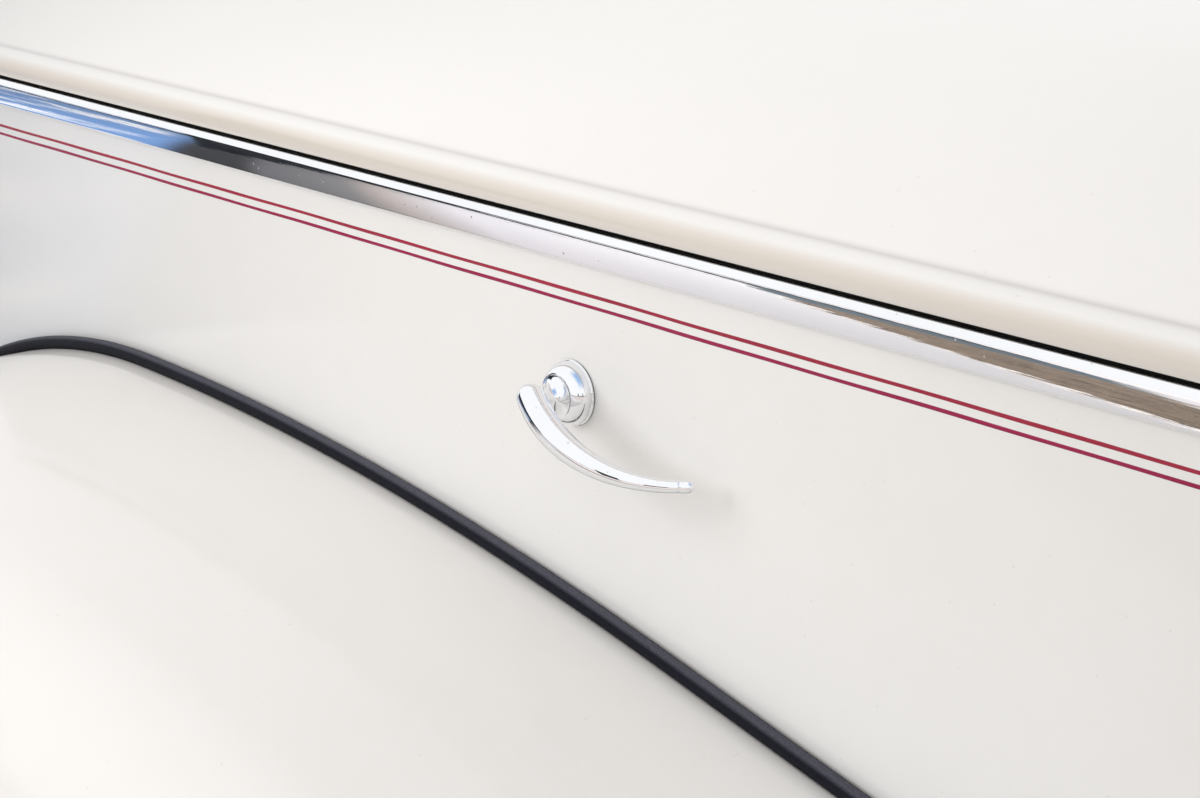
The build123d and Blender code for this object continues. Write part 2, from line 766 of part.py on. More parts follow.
def splash_panel():
    # A plate across the wing behind the wheel, cut to the inside of the wing.
    curve = wing_curve(wing_skin + seat_gap)
    first, last = curve[0] @ 0, curve[-1] @ 1
    low = -wing_side_depth - 3 * splash_lap
    room = make_face(curve + [Polyline((last.X, last.Y), (last.X, low), (first.X, low), (first.X, first.Y))])
    across = (seat_gap + wing_skin - wing_side_width, wing_flange_y - wing_skin - seat_gap)
    plate = block((splash_x - splash_skin, splash_x), across, (sill_z + splash_lap, 0))
    upper = plate & carried(room)
    below = wing_height(splash_x, wing_side_depth) - splash_lap
    lower = block((splash_x - splash_skin, splash_x), across, (sill_z + splash_lap, below))
    toe_top = wing_height(splash_x, flange_depth + flange_cover) - splash_lap
    toe = block((splash_x - splash_skin, splash_x), (across[1], panel_skin), (valance_bottom_z, toe_top))
    return upper + lower + toe


pieces = {
    "wing": wing,
    "wing_piping": wing_piping,
    "wing_stays": wing_stays,
    "splash_panel": splash_panel,
    "inner_valance": inner_valance,
    "side_panel": side_panel,
    "side_moulding": side_moulding,
    "side_stiffener": side_stiffener,
    "rear_arch": rear_arch,
    "front_arch": front_arch,
    "landing_tapes": landing_tapes,
    "lid_seal": lid_seal,
    "centre_rail": centre_rail,
    "hinge_pin": hinge_pin,
    "base_gasket": base_gasket,
    "handle_base": handle_base,
    "latch_bearing": latch_bearing,
    "lock_guides": lock_guides,
    "bonnet_lid": lid_skin_panel,
    "lid_edge_rail": lid_edge_rail,
    "lid_bows": lid_bows,
    "lid_catches": lid_catches,
    "hinge_leaf": hinge_leaf,
    "handle_lever": handle_lever,
    "spindle": spindle,
    "crank": crank,
    "lock_bar": lock_bar,
}

os.makedirs("parts", exist_ok=True)
for name, make in pieces.items():
    piece = Pos(0, -bolt_inset, 0) * make()
    piece.label = name
    export_step(piece, f"parts/{name}.step")
    print(f"{name}: {len(piece.solids())} solids, {piece.volume / 1000:.1f} cm3")
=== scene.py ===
import bpy
import bmesh
import numpy as np
from mathutils import Matrix, Vector


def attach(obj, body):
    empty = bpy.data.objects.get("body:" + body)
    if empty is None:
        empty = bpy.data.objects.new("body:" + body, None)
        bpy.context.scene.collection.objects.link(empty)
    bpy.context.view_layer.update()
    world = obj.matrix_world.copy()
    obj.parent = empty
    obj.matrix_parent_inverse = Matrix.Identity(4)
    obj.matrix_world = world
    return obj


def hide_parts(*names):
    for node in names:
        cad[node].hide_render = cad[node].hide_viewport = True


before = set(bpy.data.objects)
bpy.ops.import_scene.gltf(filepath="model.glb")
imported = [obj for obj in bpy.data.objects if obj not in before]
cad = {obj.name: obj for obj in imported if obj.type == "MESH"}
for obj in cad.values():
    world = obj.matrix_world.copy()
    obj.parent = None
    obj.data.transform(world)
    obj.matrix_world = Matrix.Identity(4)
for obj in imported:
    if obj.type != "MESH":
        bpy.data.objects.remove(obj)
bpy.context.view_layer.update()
print("frame loaded:", len(cad), "nodes")

# Pieces are worked out in millimetres from the side panel's outer face, at the lever's height: X rearward,
# Y inboard and Z up. panelFace is where that face lies in the row frame.
panelFace = -0.025
handleX = -520

view = {"place": (0.6142, -0.9490, 0.4235), "azimuth": 50.19, "elevation": 16.31, "lens": 73.5}


def newObject(name, data):
    thing = bpy.data.objects.new(name, data)
    bpy.context.scene.collection.objects.link(thing)
    return thing


# Looks back along azimuth and elevation, which point from the object to the camera.
def makeCamera():
    a, e = np.radians(view["azimuth"]), np.radians(view["elevation"])
    back = Vector((np.sin(a) * np.cos(e), -np.cos(a) * np.cos(e), np.sin(e)))
    right = Vector((np.cos(a), np.sin(a), 0))
    up = back.cross(right)
    data = bpy.data.cameras.new("camera")
    data.lens, data.sensor_width = view["lens"], 36
    data.clip_start, data.clip_end = 0.02, 60
    camera = newObject("camera", data)
    turn = Matrix((right, up, back)).transposed().to_4x4()
    camera.matrix_world = Matrix.Translation(view["place"]) @ turn
    bpy.context.scene.camera = camera


makeCamera()
print("camera made")


# Coordinates that broadcast against each other, as one grid of points.
def stacked(*parts):
    return np.stack(np.broadcast_arrays(*parts), -1)


# Angles evenly around a circle.
def fullTurn(steps):
    return np.linspace(0, 2 * np.pi, steps, endpoint=False)


# A shell from a grid of points in millimetres. Its columns form a closed loop, and so do its rows where
# closed, or else caps join points that face each other across the end loops. UV is the distance along and
# around. Faces from the column called inside take the second material.
def shell(grid, closedRows=False, caps=True, inside=None):
    grid = np.asarray(grid, float)
    rows, columns = grid.shape[:2]
    i = np.arange(rows if closedRows else rows - 1)[:, None]
    j = np.arange(columns)[None, :]
    around = np.linalg.norm(np.diff(grid, axis=1, append=grid[:, :1]), axis=2).mean(0)
    along = np.linalg.norm(np.diff(grid, axis=0, append=grid[:1]), axis=2).mean(1)
    around, along = np.append(0, np.cumsum(around)), np.append(0, np.cumsum(along))
    corners = ((0, 0), (1, 0), (1, 1), (0, 1))
    quads = stacked(*((i + up) % rows * columns + (j + on) % columns for up, on in corners)).reshape(-1, 4)
    uv = np.stack([stacked(along[i + up], around[j + on]) for up, on in corners], 2).reshape(-1, 4, 2)
    column = quads[:, 0] % columns
    kinds = ((column >= inside) & (column < columns - 1)).astype(int) if inside else 0 * column
    if caps and not closedRows:
        j = np.arange(columns // 2 - 1)
        near = stacked(j, j + 1, columns - 2 - j, columns - 1 - j)
        quads = np.concatenate([quads, near, near[:, ::-1] + (rows - 1) * columns])
        uv = np.concatenate([uv, grid[0][near][:, :, 1:], grid[-1][near[:, ::-1]][:, :, 1:]])
        kinds = np.concatenate([kinds, np.zeros(2 * len(near), int)])
    points = grid.reshape(-1, 3)
    a, b, c, d = (points[quads[:, k]] - points.mean(0) for k in range(4))
    if (a * (np.cross(b, c) + np.cross(c, d))).sum() < 0:  # inside out
        quads, uv = quads[:, ::-1], uv[:, ::-1]
    return points, quads, uv, kinds


# A skin between two sheets of points, the second of which lies inside the first.
def skinShell(outer, inner):
    return shell(np.concatenate([outer, inner[:, ::-1]], 1), inside=outer.shape[1])


# One object from several shells. It sits at the origin, in metres, and its edges are sharp past an angle.
def makePiece(name, shells, materials, body, node=None, sharp=38):
    points, quads, uv, kinds = zip(*shells)
    starts = np.cumsum([0] + [len(part) for part in points])
    quads = np.concatenate([part + start for part, start in zip(quads, starts)])
    uv = (np.concatenate(uv) / 1000).astype(np.float32)
    mesh = bpy.data.meshes.new(name)
    mesh.from_pydata(np.concatenate(points) / 1000 + (0, panelFace, 0), [], quads.tolist())
    mesh.uv_layers.new(name="surface").data.foreach_set("uv", uv.ravel())
    for material in materials:
        mesh.materials.append(material)
    mesh.polygons.foreach_set("material_index", np.concatenate(kinds).astype(np.int32))
    work = bmesh.new()
    work.from_mesh(mesh)
    bmesh.ops.remove_doubles(work, verts=work.verts, dist=1e-7)
    bmesh.ops.dissolve_degenerate(work, edges=work.edges, dist=1e-7)
    work.to_mesh(mesh)
    work.free()
    mesh.shade_smooth()
    mesh.set_sharp_from_angle(angle=np.radians(sharp))
    piece = newObject(name, mesh)
    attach(piece, body)
    if node:
        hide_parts(node)
    print("made", name, len(mesh.polygons), "faces")


# Rounds a closed outline's corners to a radius, or to half the shorter side beside it where that is less. The
# corner is the control point of a curve between the places where the radius touches its sides.
def rounded(outline, radius, steps=5):
    points = np.asarray(outline, float)
    ways = [np.roll(points, step, 0) - points for step in (1, -1)]
    lengths = [np.linalg.norm(way, axis=1, keepdims=True) for way in ways]
    before, after = (way / length for way, length in zip(ways, lengths))
    half = np.arccos(np.clip((before * after).sum(1, keepdims=True), -1, 1)) / 2
    cut = np.minimum(np.reshape(radius, (-1, 1)) / np.tan(half), 0.49 * np.minimum(*lengths))
    share = np.linspace(0, 1, steps)[None, :, None]
    first, corner, last = (part[:, None] for part in (points + before * cut, points, points + after * cut))
    curve = (1 - share) ** 2 * first + 2 * share * (1 - share) * corner + share ** 2 * last
    return curve.reshape(-1, 2)


# A solid turned about the lever's axis, from a closed outline of radius and distance out.
def turnedShell(outline, steps=96):
    angle = fullTurn(steps)[:, None]
    radius, out = np.asarray(outline, float).T
    return shell(stacked(handleX + radius * np.cos(angle), -out, radius * np.sin(angle)), closedRows=True)


def addNode(tree, kind, inputs=None, **settings):
    node = tree.nodes.new(kind)
    for key, value in settings.items():
        setattr(node, key, value)
    for key, value in (inputs or {}).items():
        if isinstance(value, bpy.types.NodeSocket):
            tree.links.new(value, node.inputs[key])
        else:
            node.inputs[key].default_value = value
    return node


def maths(tree, operation, first, second=0.0, third=0.0):
    return addNode(tree, "ShaderNodeMath", {0: first, 1: second, 2: third}, operation=operation).outputs[0]


def product(tree, first, second):
    return maths(tree, "MULTIPLY", first, second)


def spread(tree, value, low, high, toLow=0.0, toHigh=1.0):
    inputs = {"Value": value, "From Min": low, "From Max": high, "To Min": toLow, "To Max": toHigh}
    return addNode(tree, "ShaderNodeMapRange", inputs).outputs["Result"]


def mixColour(tree, share, first, second):
    inputs = {"Factor": share, "A": first, "B": second}
    return addNode(tree, "ShaderNodeMix", inputs, data_type="RGBA").outputs["Result"]


def noise(tree, vector, scale, detail):
    inputs = {"Vector": vector, "Scale": scale, "Detail": detail}
    return addNode(tree, "ShaderNodeTexNoise", inputs).outputs["Fac"]


def axes(tree, vector):
    return addNode(tree, "ShaderNodeSeparateXYZ", {"Vector": vector}).outputs


# Three numbers as a full colour, times a share.
def opaque(colour, share=1.0):
    return (*(share * np.array(colour)), 1)


# A node group from inputs, outputs and a function that fills it and gives a socket for each output.
def makeGroup(name, inputs, outputs, fill):
    tree = bpy.data.node_groups.new(name, "ShaderNodeTree")
    for way, sockets in (("INPUT", inputs), ("OUTPUT", outputs)):
        for label, kind in sockets.items():
            tree.interface.new_socket(label, in_out=way, socket_type="NodeSocket" + kind)
    given, result = tree.nodes.new("NodeGroupInput"), tree.nodes.new("NodeGroupOutput")
    for label, socket in fill(tree, given.outputs).items():
        tree.links.new(socket, result.inputs[label])
    return tree


def useGroup(tree, group, inputs):
    return addNode(tree, "ShaderNodeGroup", inputs, node_tree=group).outputs


# Slow drift between two colours, with a finer mottle in it.
def fillDrift(tree, given):
    broad = noise(tree, given["Vector"], given["Scale"], 3.0)
    fine = noise(tree, given["Vector"], product(tree, given["Scale"], 17.0), 2.0)
    share = spread(tree, maths(tree, "MULTIPLY_ADD", fine, 0.3, product(tree, broad, 0.7)), 0.36, 0.64)
    return {"Colour": mixColour(tree, share, given["First"], given["Second"]), "Mask": share}


# Specks: a round spot in some cells of a Voronoi pattern, large or small by the cell's own number.
def fillSpecks(tree, given):
    cells = addNode(tree, "ShaderNodeTexVoronoi", {"Vector": given["Vector"], "Scale": given["Scale"]})
    number = addNode(tree, "ShaderNodeSeparateColor", {"Color": cells.outputs["Color"]}).outputs
    chosen = maths(tree, "LESS_THAN", number["Red"], given["Share"])
    size = spread(tree, number["Green"], 0.0, 1.0, 0.06, 0.26)
    spot = maths(tree, "LESS_THAN", cells.outputs["Distance"], size)
    return {"Mask": product(tree, chosen, spot)}


# Hairlines: noise drawn out along the axis in which Stretch is small.
def fillHairlines(tree, given):
    inputs = {0: given["Vector"], 1: given["Stretch"]}
    drawn = addNode(tree, "ShaderNodeVectorMath", inputs, operation="MULTIPLY").outputs["Vector"]
    return {"Mask": spread(tree, noise(tree, drawn, 1.0, 4.0), 0.38, 0.66)}


# Grain: pebbles that are high in the middle of each Voronoi cell, with a finer roughness on them.
def fillGrain(tree, given):
    inputs = {"Vector": given["Vector"], "Scale": given["Scale"]}
    cells = addNode(tree, "ShaderNodeTexVoronoi", inputs, feature="DISTANCE_TO_EDGE")
    fine = noise(tree, given["Vector"], product(tree, given["Scale"], 2.7), 3.0)
    pebble = spread(tree, cells.outputs["Distance"], 0.0, 0.32)
    return {"Height": maths(tree, "MULTIPLY_ADD", fine, 0.45, pebble),
            "Crease": maths(tree, "SUBTRACT", 1.0, pebble)}


pattern = {"Vector": "Vector", "Scale": "Float"}
drift = makeGroup("colourDrift", {**pattern, "First": "Color", "Second": "Color"},
                  {"Colour": "Color", "Mask": "Float"}, fillDrift)
specks = makeGroup("dustSpecks", {**pattern, "Share": "Float"}, {"Mask": "Float"}, fillSpecks)
hairlines = makeGroup("hairlines", {"Vector": "Vector", "Stretch": "Vector"}, {"Mask": "Float"},
                      fillHairlines)
grain = makeGroup("pebbleGrain", pattern, {"Height": "Float", "Crease": "Float"}, fillGrain)


# The drift group with its two colours given as three numbers each.
def driftTint(tree, place, scale, first, second):
    inputs = {"Vector": place, "Scale": scale, "First": opaque(first), "Second": opaque(second)}
    return useGroup(tree, drift, inputs)


def startMaterial(name, **values):
    material = bpy.data.materials.new(name)
    material.use_nodes = True
    tree = material.node_tree
    shader = tree.nodes["Principled BSDF"]
    for key, value in values.items():
        shader.inputs[key.replace("_", " ")].default_value = value
    return material, tree, shader, addNode(tree, "ShaderNodeTexCoord").outputs["Object"]


def link(tree, shader, **sockets):
    for key, socket in sockets.items():
        tree.links.new(socket, shader.inputs[key.replace("_", " ")])


def bumpNormal(tree, height, strength, distance):
    inputs = {"Height": height, "Strength": strength, "Distance": distance}
    return addNode(tree, "ShaderNodeBump", inputs).outputs["Normal"]


# A finished material's tree, shader, object coordinates and the socket that feeds its colour.
def reopened(material):
    tree = material.node_tree
    shader = tree.nodes["Principled BSDF"]
    place = addNode(tree, "ShaderNodeTexCoord").outputs["Object"]
    return tree, shader, place, shader.inputs["Base Color"].links[0].from_socket


ivory = ((0.80, 0.792, 0.775), (0.815, 0.809, 0.795), 0.09, 0.02)
paint = {"driftScale": 1.7, "rough": (0.42, 0.5), "coat": (0.7, 0.2), "coatIndex": 1.5, "dustScale": 260.0,
         "dusty": 0.35, "dustAndHighlightTone": (0.55, 0.51, 0.46), "peelScale": 320.0, "peel": (0.04, 0.0002)}


# Lacquered paint: a slow drift of ivory, a little dust, which dulls the lacquer, and a faint orange peel.
def makePaint(name, first, second, coatRoughness, dustShare):
    g = paint
    material, tree, shader, place = startMaterial(name, Coat_Roughness=coatRoughness, Coat_IOR=g["coatIndex"])
    tint = driftTint(tree, place, g["driftScale"], first, second)
    dustAndHighlight = useGroup(tree, specks, {"Vector": place, "Scale": g["dustScale"], "Share": dustShare})["Mask"]
    dusty = product(tree, dustAndHighlight, g["dusty"])
    link(tree, shader, Base_Color=mixColour(tree, dusty, tint["Colour"], opaque(g["dustAndHighlightTone"])),
         Roughness=spread(tree, tint["Mask"], 0, 1, *g["rough"]),
         Coat_Weight=spread(tree, dustAndHighlight, 0, 1, *g["coat"]),
         Normal=bumpNormal(tree, noise(tree, place, g["peelScale"], 1.0), *g["peel"]))
    return material


# Painted shade for the lid: a warm taupe down the bead's lower side and a grey line along the crease.
lidPaintedShade = {"tone": (0.655, 0.60, 0.535), "top": 0.1262, "low": 0.1175, "fadeDepth": 0.008, "fadeTo": 0.55,
           "creaseLine": (-0.016, 0.1300), "creaseReach": (0.0058, 0.0008), "creaseShadeTone": (0.62, 0.605, 0.60)}


# The lid's paint: as above, with painted shade in a soft warm taupe on the bead's lower side, which grows
# down the bead and fades again toward the edge, and a faint painted shade line along the crease, by the
# distance from its line.
def makeLidPaint():
    g = lidPaintedShade
    material = makePaint("lidPaint", *ivory)
    tree, shader, place, colour = reopened(material)
    part = axes(tree, place)
    y, z = g["creaseLine"]
    line = addNode(tree, "ShaderNodeCombineXYZ", {"X": part["X"], "Y": y, "Z": z}).outputs[0]
    away = addNode(tree, "ShaderNodeVectorMath", {0: place, 1: line}, operation="DISTANCE").outputs["Value"]
    down = spread(tree, part["Z"], g["top"], g["low"])
    down = maths(tree, "SUBTRACT", product(tree, down, 2.0), product(tree, down, down))
    fade = spread(tree, part["Z"], g["low"], g["low"] - g["fadeDepth"], 1.0, g["fadeTo"])
    # painted shade down the bead's lower side, then a painted shade line along the crease
    beadShaded = mixColour(tree, product(tree, down, fade), colour, opaque(g["tone"]))
    edge = spread(tree, away, *g["creaseReach"])
    edge = product(tree, edge, edge)
    link(tree, shader, Base_Color=mixColour(tree, edge, beadShaded, opaque(g["creaseShadeTone"])))
    return material


# Painted shade: the panel's top edge in the shut line is painted near black.
shutLineShade = {"height": 0.1053, "blend": 0.0002, "tone": (0.012, 0.011, 0.010)}


# The side panel's paint: its top edge, down in the shut line, is painted near black as shade, and has no
# lacquer there.
def makePanelPaint():
    g = shutLineShade
    material = makePaint("panelPaint", *ivory)
    tree, shader, place, colour = reopened(material)
    edge = spread(tree, axes(tree, place)["Z"], g["height"] - g["blend"], g["height"])
    link(tree, shader, Base_Color=mixColour(tree, edge, colour, opaque(g["tone"])),
         Coat_Weight=spread(tree, edge, 0, 1, paint["coat"][0], 0.0))
    return material


metal = {"driftScale": 9.0, "dustScale": 300.0, "dusty": 0.4, "dustAndHighlightTone": (0.5, 0.46, 0.43), "dustRough": 0.3,
         "lines": (0.02, 0.0001)}


# Bright metal: hairlines drawn along it and dust that both dull it. Tint drifts between two near greys.
def makeMetal(name, first, second, roughness, stretch, dustShare):
    g = metal
    material, tree, shader, place = startMaterial(name, Metallic=1.0)
    tint = driftTint(tree, place, g["driftScale"], first, second)
    lines = useGroup(tree, hairlines, {"Vector": place, "Stretch": stretch})["Mask"]
    dustAndHighlight = useGroup(tree, specks, {"Vector": place, "Scale": g["dustScale"], "Share": dustShare})["Mask"]
    dusty = product(tree, dustAndHighlight, g["dusty"])
    link(tree, shader, Base_Color=mixColour(tree, dusty, tint["Colour"], opaque(g["dustAndHighlightTone"])),
         Roughness=maths(tree, "MULTIPLY_ADD", dustAndHighlight, g["dustRough"], spread(tree, lines, 0, 1, *roughness)),
         Normal=bumpNormal(tree, lines, *g["lines"]))
    return material


# Hide, rubber and underseal: pebbles with darker creases, rough on top. Bump is a strength and a distance.
def makeGrained(name, high, low, roughness, scale, bump, gloss):
    material, tree, shader, place = startMaterial(name, Specular_IOR_Level=gloss)
    pebble = useGroup(tree, grain, {"Vector": place, "Scale": scale})
    tint = driftTint(tree, place, 12.0, high, low)
    dark = product(tree, pebble["Crease"], 0.6)
    link(tree, shader, Base_Color=mixColour(tree, dark, tint["Colour"], opaque(low, 0.4)),
         Roughness=spread(tree, pebble["Crease"], 0, 1, *roughness),
         Normal=bumpNormal(tree, pebble["Height"], *bump))
    return material


# Painted highlight: the welting's upward side is painted greyer, in patches, as if lit from above.
welting = {"high": (0.010, 0.011, 0.020), "low": (0.006, 0.007, 0.013), "rough": (0.5, 0.68), "grain": 1150.0,
           "bump": (0.6, 0.0004), "gloss": 0.16, "highlightTop": 0.0163, "highlightHalf": 0.0046,
           "dustAndHighlightTone": (0.105, 0.105, 0.135)}


# The welting's hide: as above, and greyer in patches along the bead's top, a painted highlight of its upward
# side, which the UV's distance gives.
def makeWeltingHide():
    g = welting
    material = makeGrained("pipingHide", g["high"], g["low"], g["rough"], g["grain"], g["bump"], g["gloss"])
    tree, shader, place, colour = reopened(material)
    around = axes(tree, addNode(tree, "ShaderNodeUVMap", uv_map="surface").outputs[0])["Y"]
    # painted highlight along the bead's top
    away = maths(tree, "ABSOLUTE", maths(tree, "SUBTRACT", around, g["highlightTop"]))
    patchy = spread(tree, noise(tree, place, 900.0, 3.0), 0.25, 0.75, 0.45, 1.0)
    dustAndHighlight = product(tree, spread(tree, away, g["highlightHalf"], 0.45 * g["highlightHalf"]), patchy)
    link(tree, shader, Base_Color=mixColour(tree, dustAndHighlight, colour, opaque(g["dustAndHighlightTone"])))
    return material


# Woven tape: threads run along and across it as two waves, and each thread shows where its wave is higher.
def makeWoven(name, first, second, pitch):
    material, tree, shader, place = startMaterial(name, Specular_IOR_Level=0.2)
    inputs = {"Vector": place, "Scale": 0.5 / pitch, "Distortion": 0.4}
    along, across = (addNode(tree, "ShaderNodeTexWave", inputs, bands_direction=axis).outputs["Fac"]
                     for axis in "XY")
    height = maths(tree, "MAXIMUM", along, across)
    under = product(tree, maths(tree, "GREATER_THAN", along, across), 0.3)
    tint = driftTint(tree, place, 20.0, first, second)
    link(tree, shader, Base_Color=mixColour(tree, under, tint["Colour"], opaque(second, 0.5)),
         Roughness=spread(tree, height, 0, 1, 0.95, 0.8), Normal=bumpNormal(tree, height, 0.7, 0.0004))
    return material


enamel = {"upper": (0.37, 0.011, 0.042), "lower": (0.33, 0.003, 0.06), "between": 0.061,
          "brush": (12.0, 12.0, 2600.0), "dark": (0.12, 0.004, 0.02), "rough": (0.3, 0.5)}


# The coachlines' enamel: crimson in the upper line, nearer to magenta in the lower, with brush marks along X.
def makeLinePaint():
    g = enamel
    material, tree, shader, place = startMaterial(
        "crimsonLine", Coat_Weight=0.15, Coat_Roughness=0.1, Specular_IOR_Level=0.3)
    isLower = maths(tree, "LESS_THAN", axes(tree, place)["Z"], g["between"])
    line = mixColour(tree, isLower, opaque(g["upper"]), opaque(g["lower"]))
    brush = useGroup(tree, hairlines, {"Vector": place, "Stretch": g["brush"]})["Mask"]
    marks = product(tree, brush, 0.35)
    link(tree, shader, Base_Color=mixColour(tree, marks, line, opaque(g["dark"])),
         Roughness=spread(tree, brush, 0, 1, *g["rough"]))
    return material


ivoryPaint, panelPaint, lidPaint = makePaint("ivoryPaint", *ivory), makePanelPaint(), makeLidPaint()
innerPaint = makePaint("innerPaint", (0.66, 0.64, 0.60), (0.72, 0.70, 0.66), 0.25, 0.12)
chassisPaint = makePaint("chassisPaint", (0.016, 0.016, 0.017), (0.028, 0.027, 0.027), 0.22, 0.25)
chrome = makeMetal("chrome", (0.90, 0.905, 0.92), (0.86, 0.868, 0.885), (0.02, 0.05),
                   (40.0, 900.0, 900.0), 0.05)
platedSteel = makeMetal("platedSteel", (0.62, 0.58, 0.47), (0.50, 0.48, 0.44), (0.22, 0.42),
                        (60.0, 1400.0, 1400.0), 0.12)
pipingHide = makeWeltingHide()
underseal = makeGrained("underseal", (0.030, 0.029, 0.028), (0.018, 0.018, 0.018), (0.7, 0.9), 190.0,
                        (0.8, 0.002), 0.3)
rubber = makeGrained("rubber", (0.010, 0.010, 0.011), (0.007, 0.007, 0.008), (0.6, 0.8), 900.0,
                     (0.3, 0.0002), 0.3)
webbing = makeWoven("webbing", (0.085, 0.075, 0.06), (0.05, 0.045, 0.038), 0.0016)
crimsonLine = makeLinePaint()
finishes = {panelPaint: ("side_panel",), chassisPaint: ("wing_stays", "splash_panel", "inner_valance"),
            ivoryPaint: ("bonnet_lid", "wing", "lid_edge_rail", "lid_bows", "hinge_leaf", "centre_rail",
                         "side_stiffener", "rear_arch", "front_arch"),
            chrome: ("side_moulding", "handle_base", "handle_lever"),
            platedSteel: ("hinge_pin", "latch_bearing", "lock_guides", "lid_catches", "spindle", "crank",
                          "lock_bar"),
            pipingHide: ("wing_piping",), rubber: ("lid_seal", "base_gasket"), webbing: ("landing_tapes",)}
for material, names in finishes.items():
    for name in names:
        cad[name].data.materials.clear()
        cad[name].data.materials.append(material)
print("materials made")


jointLine = {"tailEnd": 60, "crestRear": -1040, "crestFront": -1045, "crestZ": -90, "tailRadius": 3250,
             "tailSlope": 11, "fallRadius": 725, "fallSlope": 32, "noseRadius": 430, "noseSlope": 85,
             "noseEnd": -660}


# A point of the joint line, moved down square to itself by depth. share runs from 0 at the tail to 6 at the
# nose, one for each stretch: straight tail, arc, level crest, arc, tight arc and straight drop. An arc's
# point is its centre plus the radius less the depth, times the sine and cosine of the slope.
def linePoint(share, depth):
    g = jointLine
    rear, front, top = g["crestRear"], g["crestFront"], g["crestZ"]
    wide, middle, tight = g["tailRadius"], g["fallRadius"], g["noseRadius"]
    tail, fall, nose = np.radians((g["tailSlope"], g["fallSlope"], g["noseSlope"]))
    share, depth = np.broadcast_arrays(np.asarray(share, float), np.asarray(depth, float))
    stretch = np.clip(share.astype(int), 0, 5)
    part = share - stretch
    noseX = front - (middle - tight) * np.sin(fall)
    noseZ = top - middle + (middle - tight) * np.cos(fall)

    def swing(x, z, radius, slope):
        return x + (radius - depth) * np.sin(slope), z + (radius - depth) * np.cos(slope)

    tailX, tailZ = swing(rear, top - wide, wide, tail)
    frontX, frontZ = swing(noseX, noseZ, tight, -nose)
    straightX = g["tailEnd"] + (tailX - g["tailEnd"]) * part
    dropZ = frontZ + (g["noseEnd"] - frontZ) * part
    stretches = (
        (straightX, tailZ - (straightX - tailX) * np.tan(tail)),
        swing(rear, top - wide, wide, tail * (1 - part)),
        (rear + (front - rear) * part, top - depth),
        swing(front, top - middle, middle, -fall * part),
        swing(noseX, noseZ, tight, -(fall + (nose - fall) * part)),
        (frontX - (frontZ - dropZ) / np.tan(nose), dropZ))
    return [np.choose(stretch, values) for values in zip(*stretches)]


wing = {"skin": 1.5, "flangeOut": 3, "flangeDepth": 26, "bend": 7, "bendDepth": 11.949, "topRadius": 1540,
        "topTurn": 8.7, "shoulder": 115, "wheelX": -1112, "wheelZ": -660, "archRadius": 370, "lip": 4.5,
        "sillZ": -700, "stations": (50, 66, 1, 44, 48, 14), "cornerX": -600, "crestX": -1000}


# The wing's section, outboard of its flange, as distance out and depth: flange, bend, crown and shoulder.
# Each arc's point is its centre plus the radius less the inset, times the sine and cosine of its turn.
def wingSection(inset):
    g = wing
    turn = np.radians(g["topTurn"])
    out, top = g["flangeOut"] + g["bend"], g["bendDepth"] - g["bend"] + g["topRadius"]
    back = g["topRadius"] - g["shoulder"]
    flange = np.linspace(g["flangeDepth"], g["bendDepth"], 5, endpoint=False)
    arcs = ((out, g["bendDepth"], g["bend"], np.linspace(-np.pi / 2, 0, 12, endpoint=False)),
            (out, top, g["topRadius"], np.linspace(0, turn, 40, endpoint=False)),
            (out + back * np.sin(turn), top - back * np.cos(turn), g["shoulder"],
             np.linspace(turn, np.pi / 2, 40)))
    outs = [0 * flange + g["flangeOut"] + inset] + [x + (r - inset) * np.sin(bend) for x, _, r, bend in arcs]
    depths = [flange] + [z - (r - inset) * np.cos(bend) for _, z, r, bend in arcs]
    return np.concatenate(outs), np.concatenate(depths)


# The wing's skin. Above, its section runs along the joint line. Below the shoulder it is a flat sheet, whose
# rows pass evenly from the shoulder's edge to the sill and the wheel opening's edge.
def wingShell():
    g = wing
    wheelX, wheelZ, radius, sill = g["wheelX"], g["wheelZ"], g["archRadius"], g["sillZ"]
    tailEnd, crest = jointLine["tailEnd"], g["crestX"]
    cornerX = wheelX + np.sqrt(radius ** 2 - (sill - wheelZ) ** 2)
    cornerAngle = np.arctan2(sill - wheelZ, cornerX - wheelX)
    runs = [np.linspace(k, k + 1, n, endpoint=False) for k, n in enumerate(g["stations"])]
    share = np.concatenate([*runs, [6 - 1e-9]])[:, None]
    rows = np.linspace(0, 1, 14)[1:]
    sheets = []
    for inset in (0, g["skin"]):
        out, depth = wingSection(inset)
        x, z = linePoint(share, depth)
        edgeX, edgeZ = x[:, -1:], z[:, -1:]
        tail = edgeX[np.abs(edgeX - g["cornerX"]).argmin()]
        sillX = tailEnd + (edgeX - tailEnd) / (tail - tailEnd) * (cornerX - tailEnd)
        towards = np.arctan2(edgeZ - wheelZ, edgeX - wheelX)
        crestAngle = np.interp(crest, edgeX[::-1, 0], towards[::-1, 0])
        turning = cornerAngle + (crestAngle - cornerAngle) * (tail - edgeX) / (tail - crest)
        angle = np.where(edgeX > crest, turning, towards)
        footX = np.where(edgeX >= tail, sillX, wheelX + radius * np.cos(angle))
        footZ = np.where(edgeX >= tail, sill, wheelZ + radius * np.sin(angle))
        side = stacked(edgeX + (footX - edgeX) * rows, -out[-1], edgeZ + (footZ - edgeZ) * rows)
        sheets.append(np.hstack([stacked(x, -out, z), side]))
    return skinShell(*sheets)


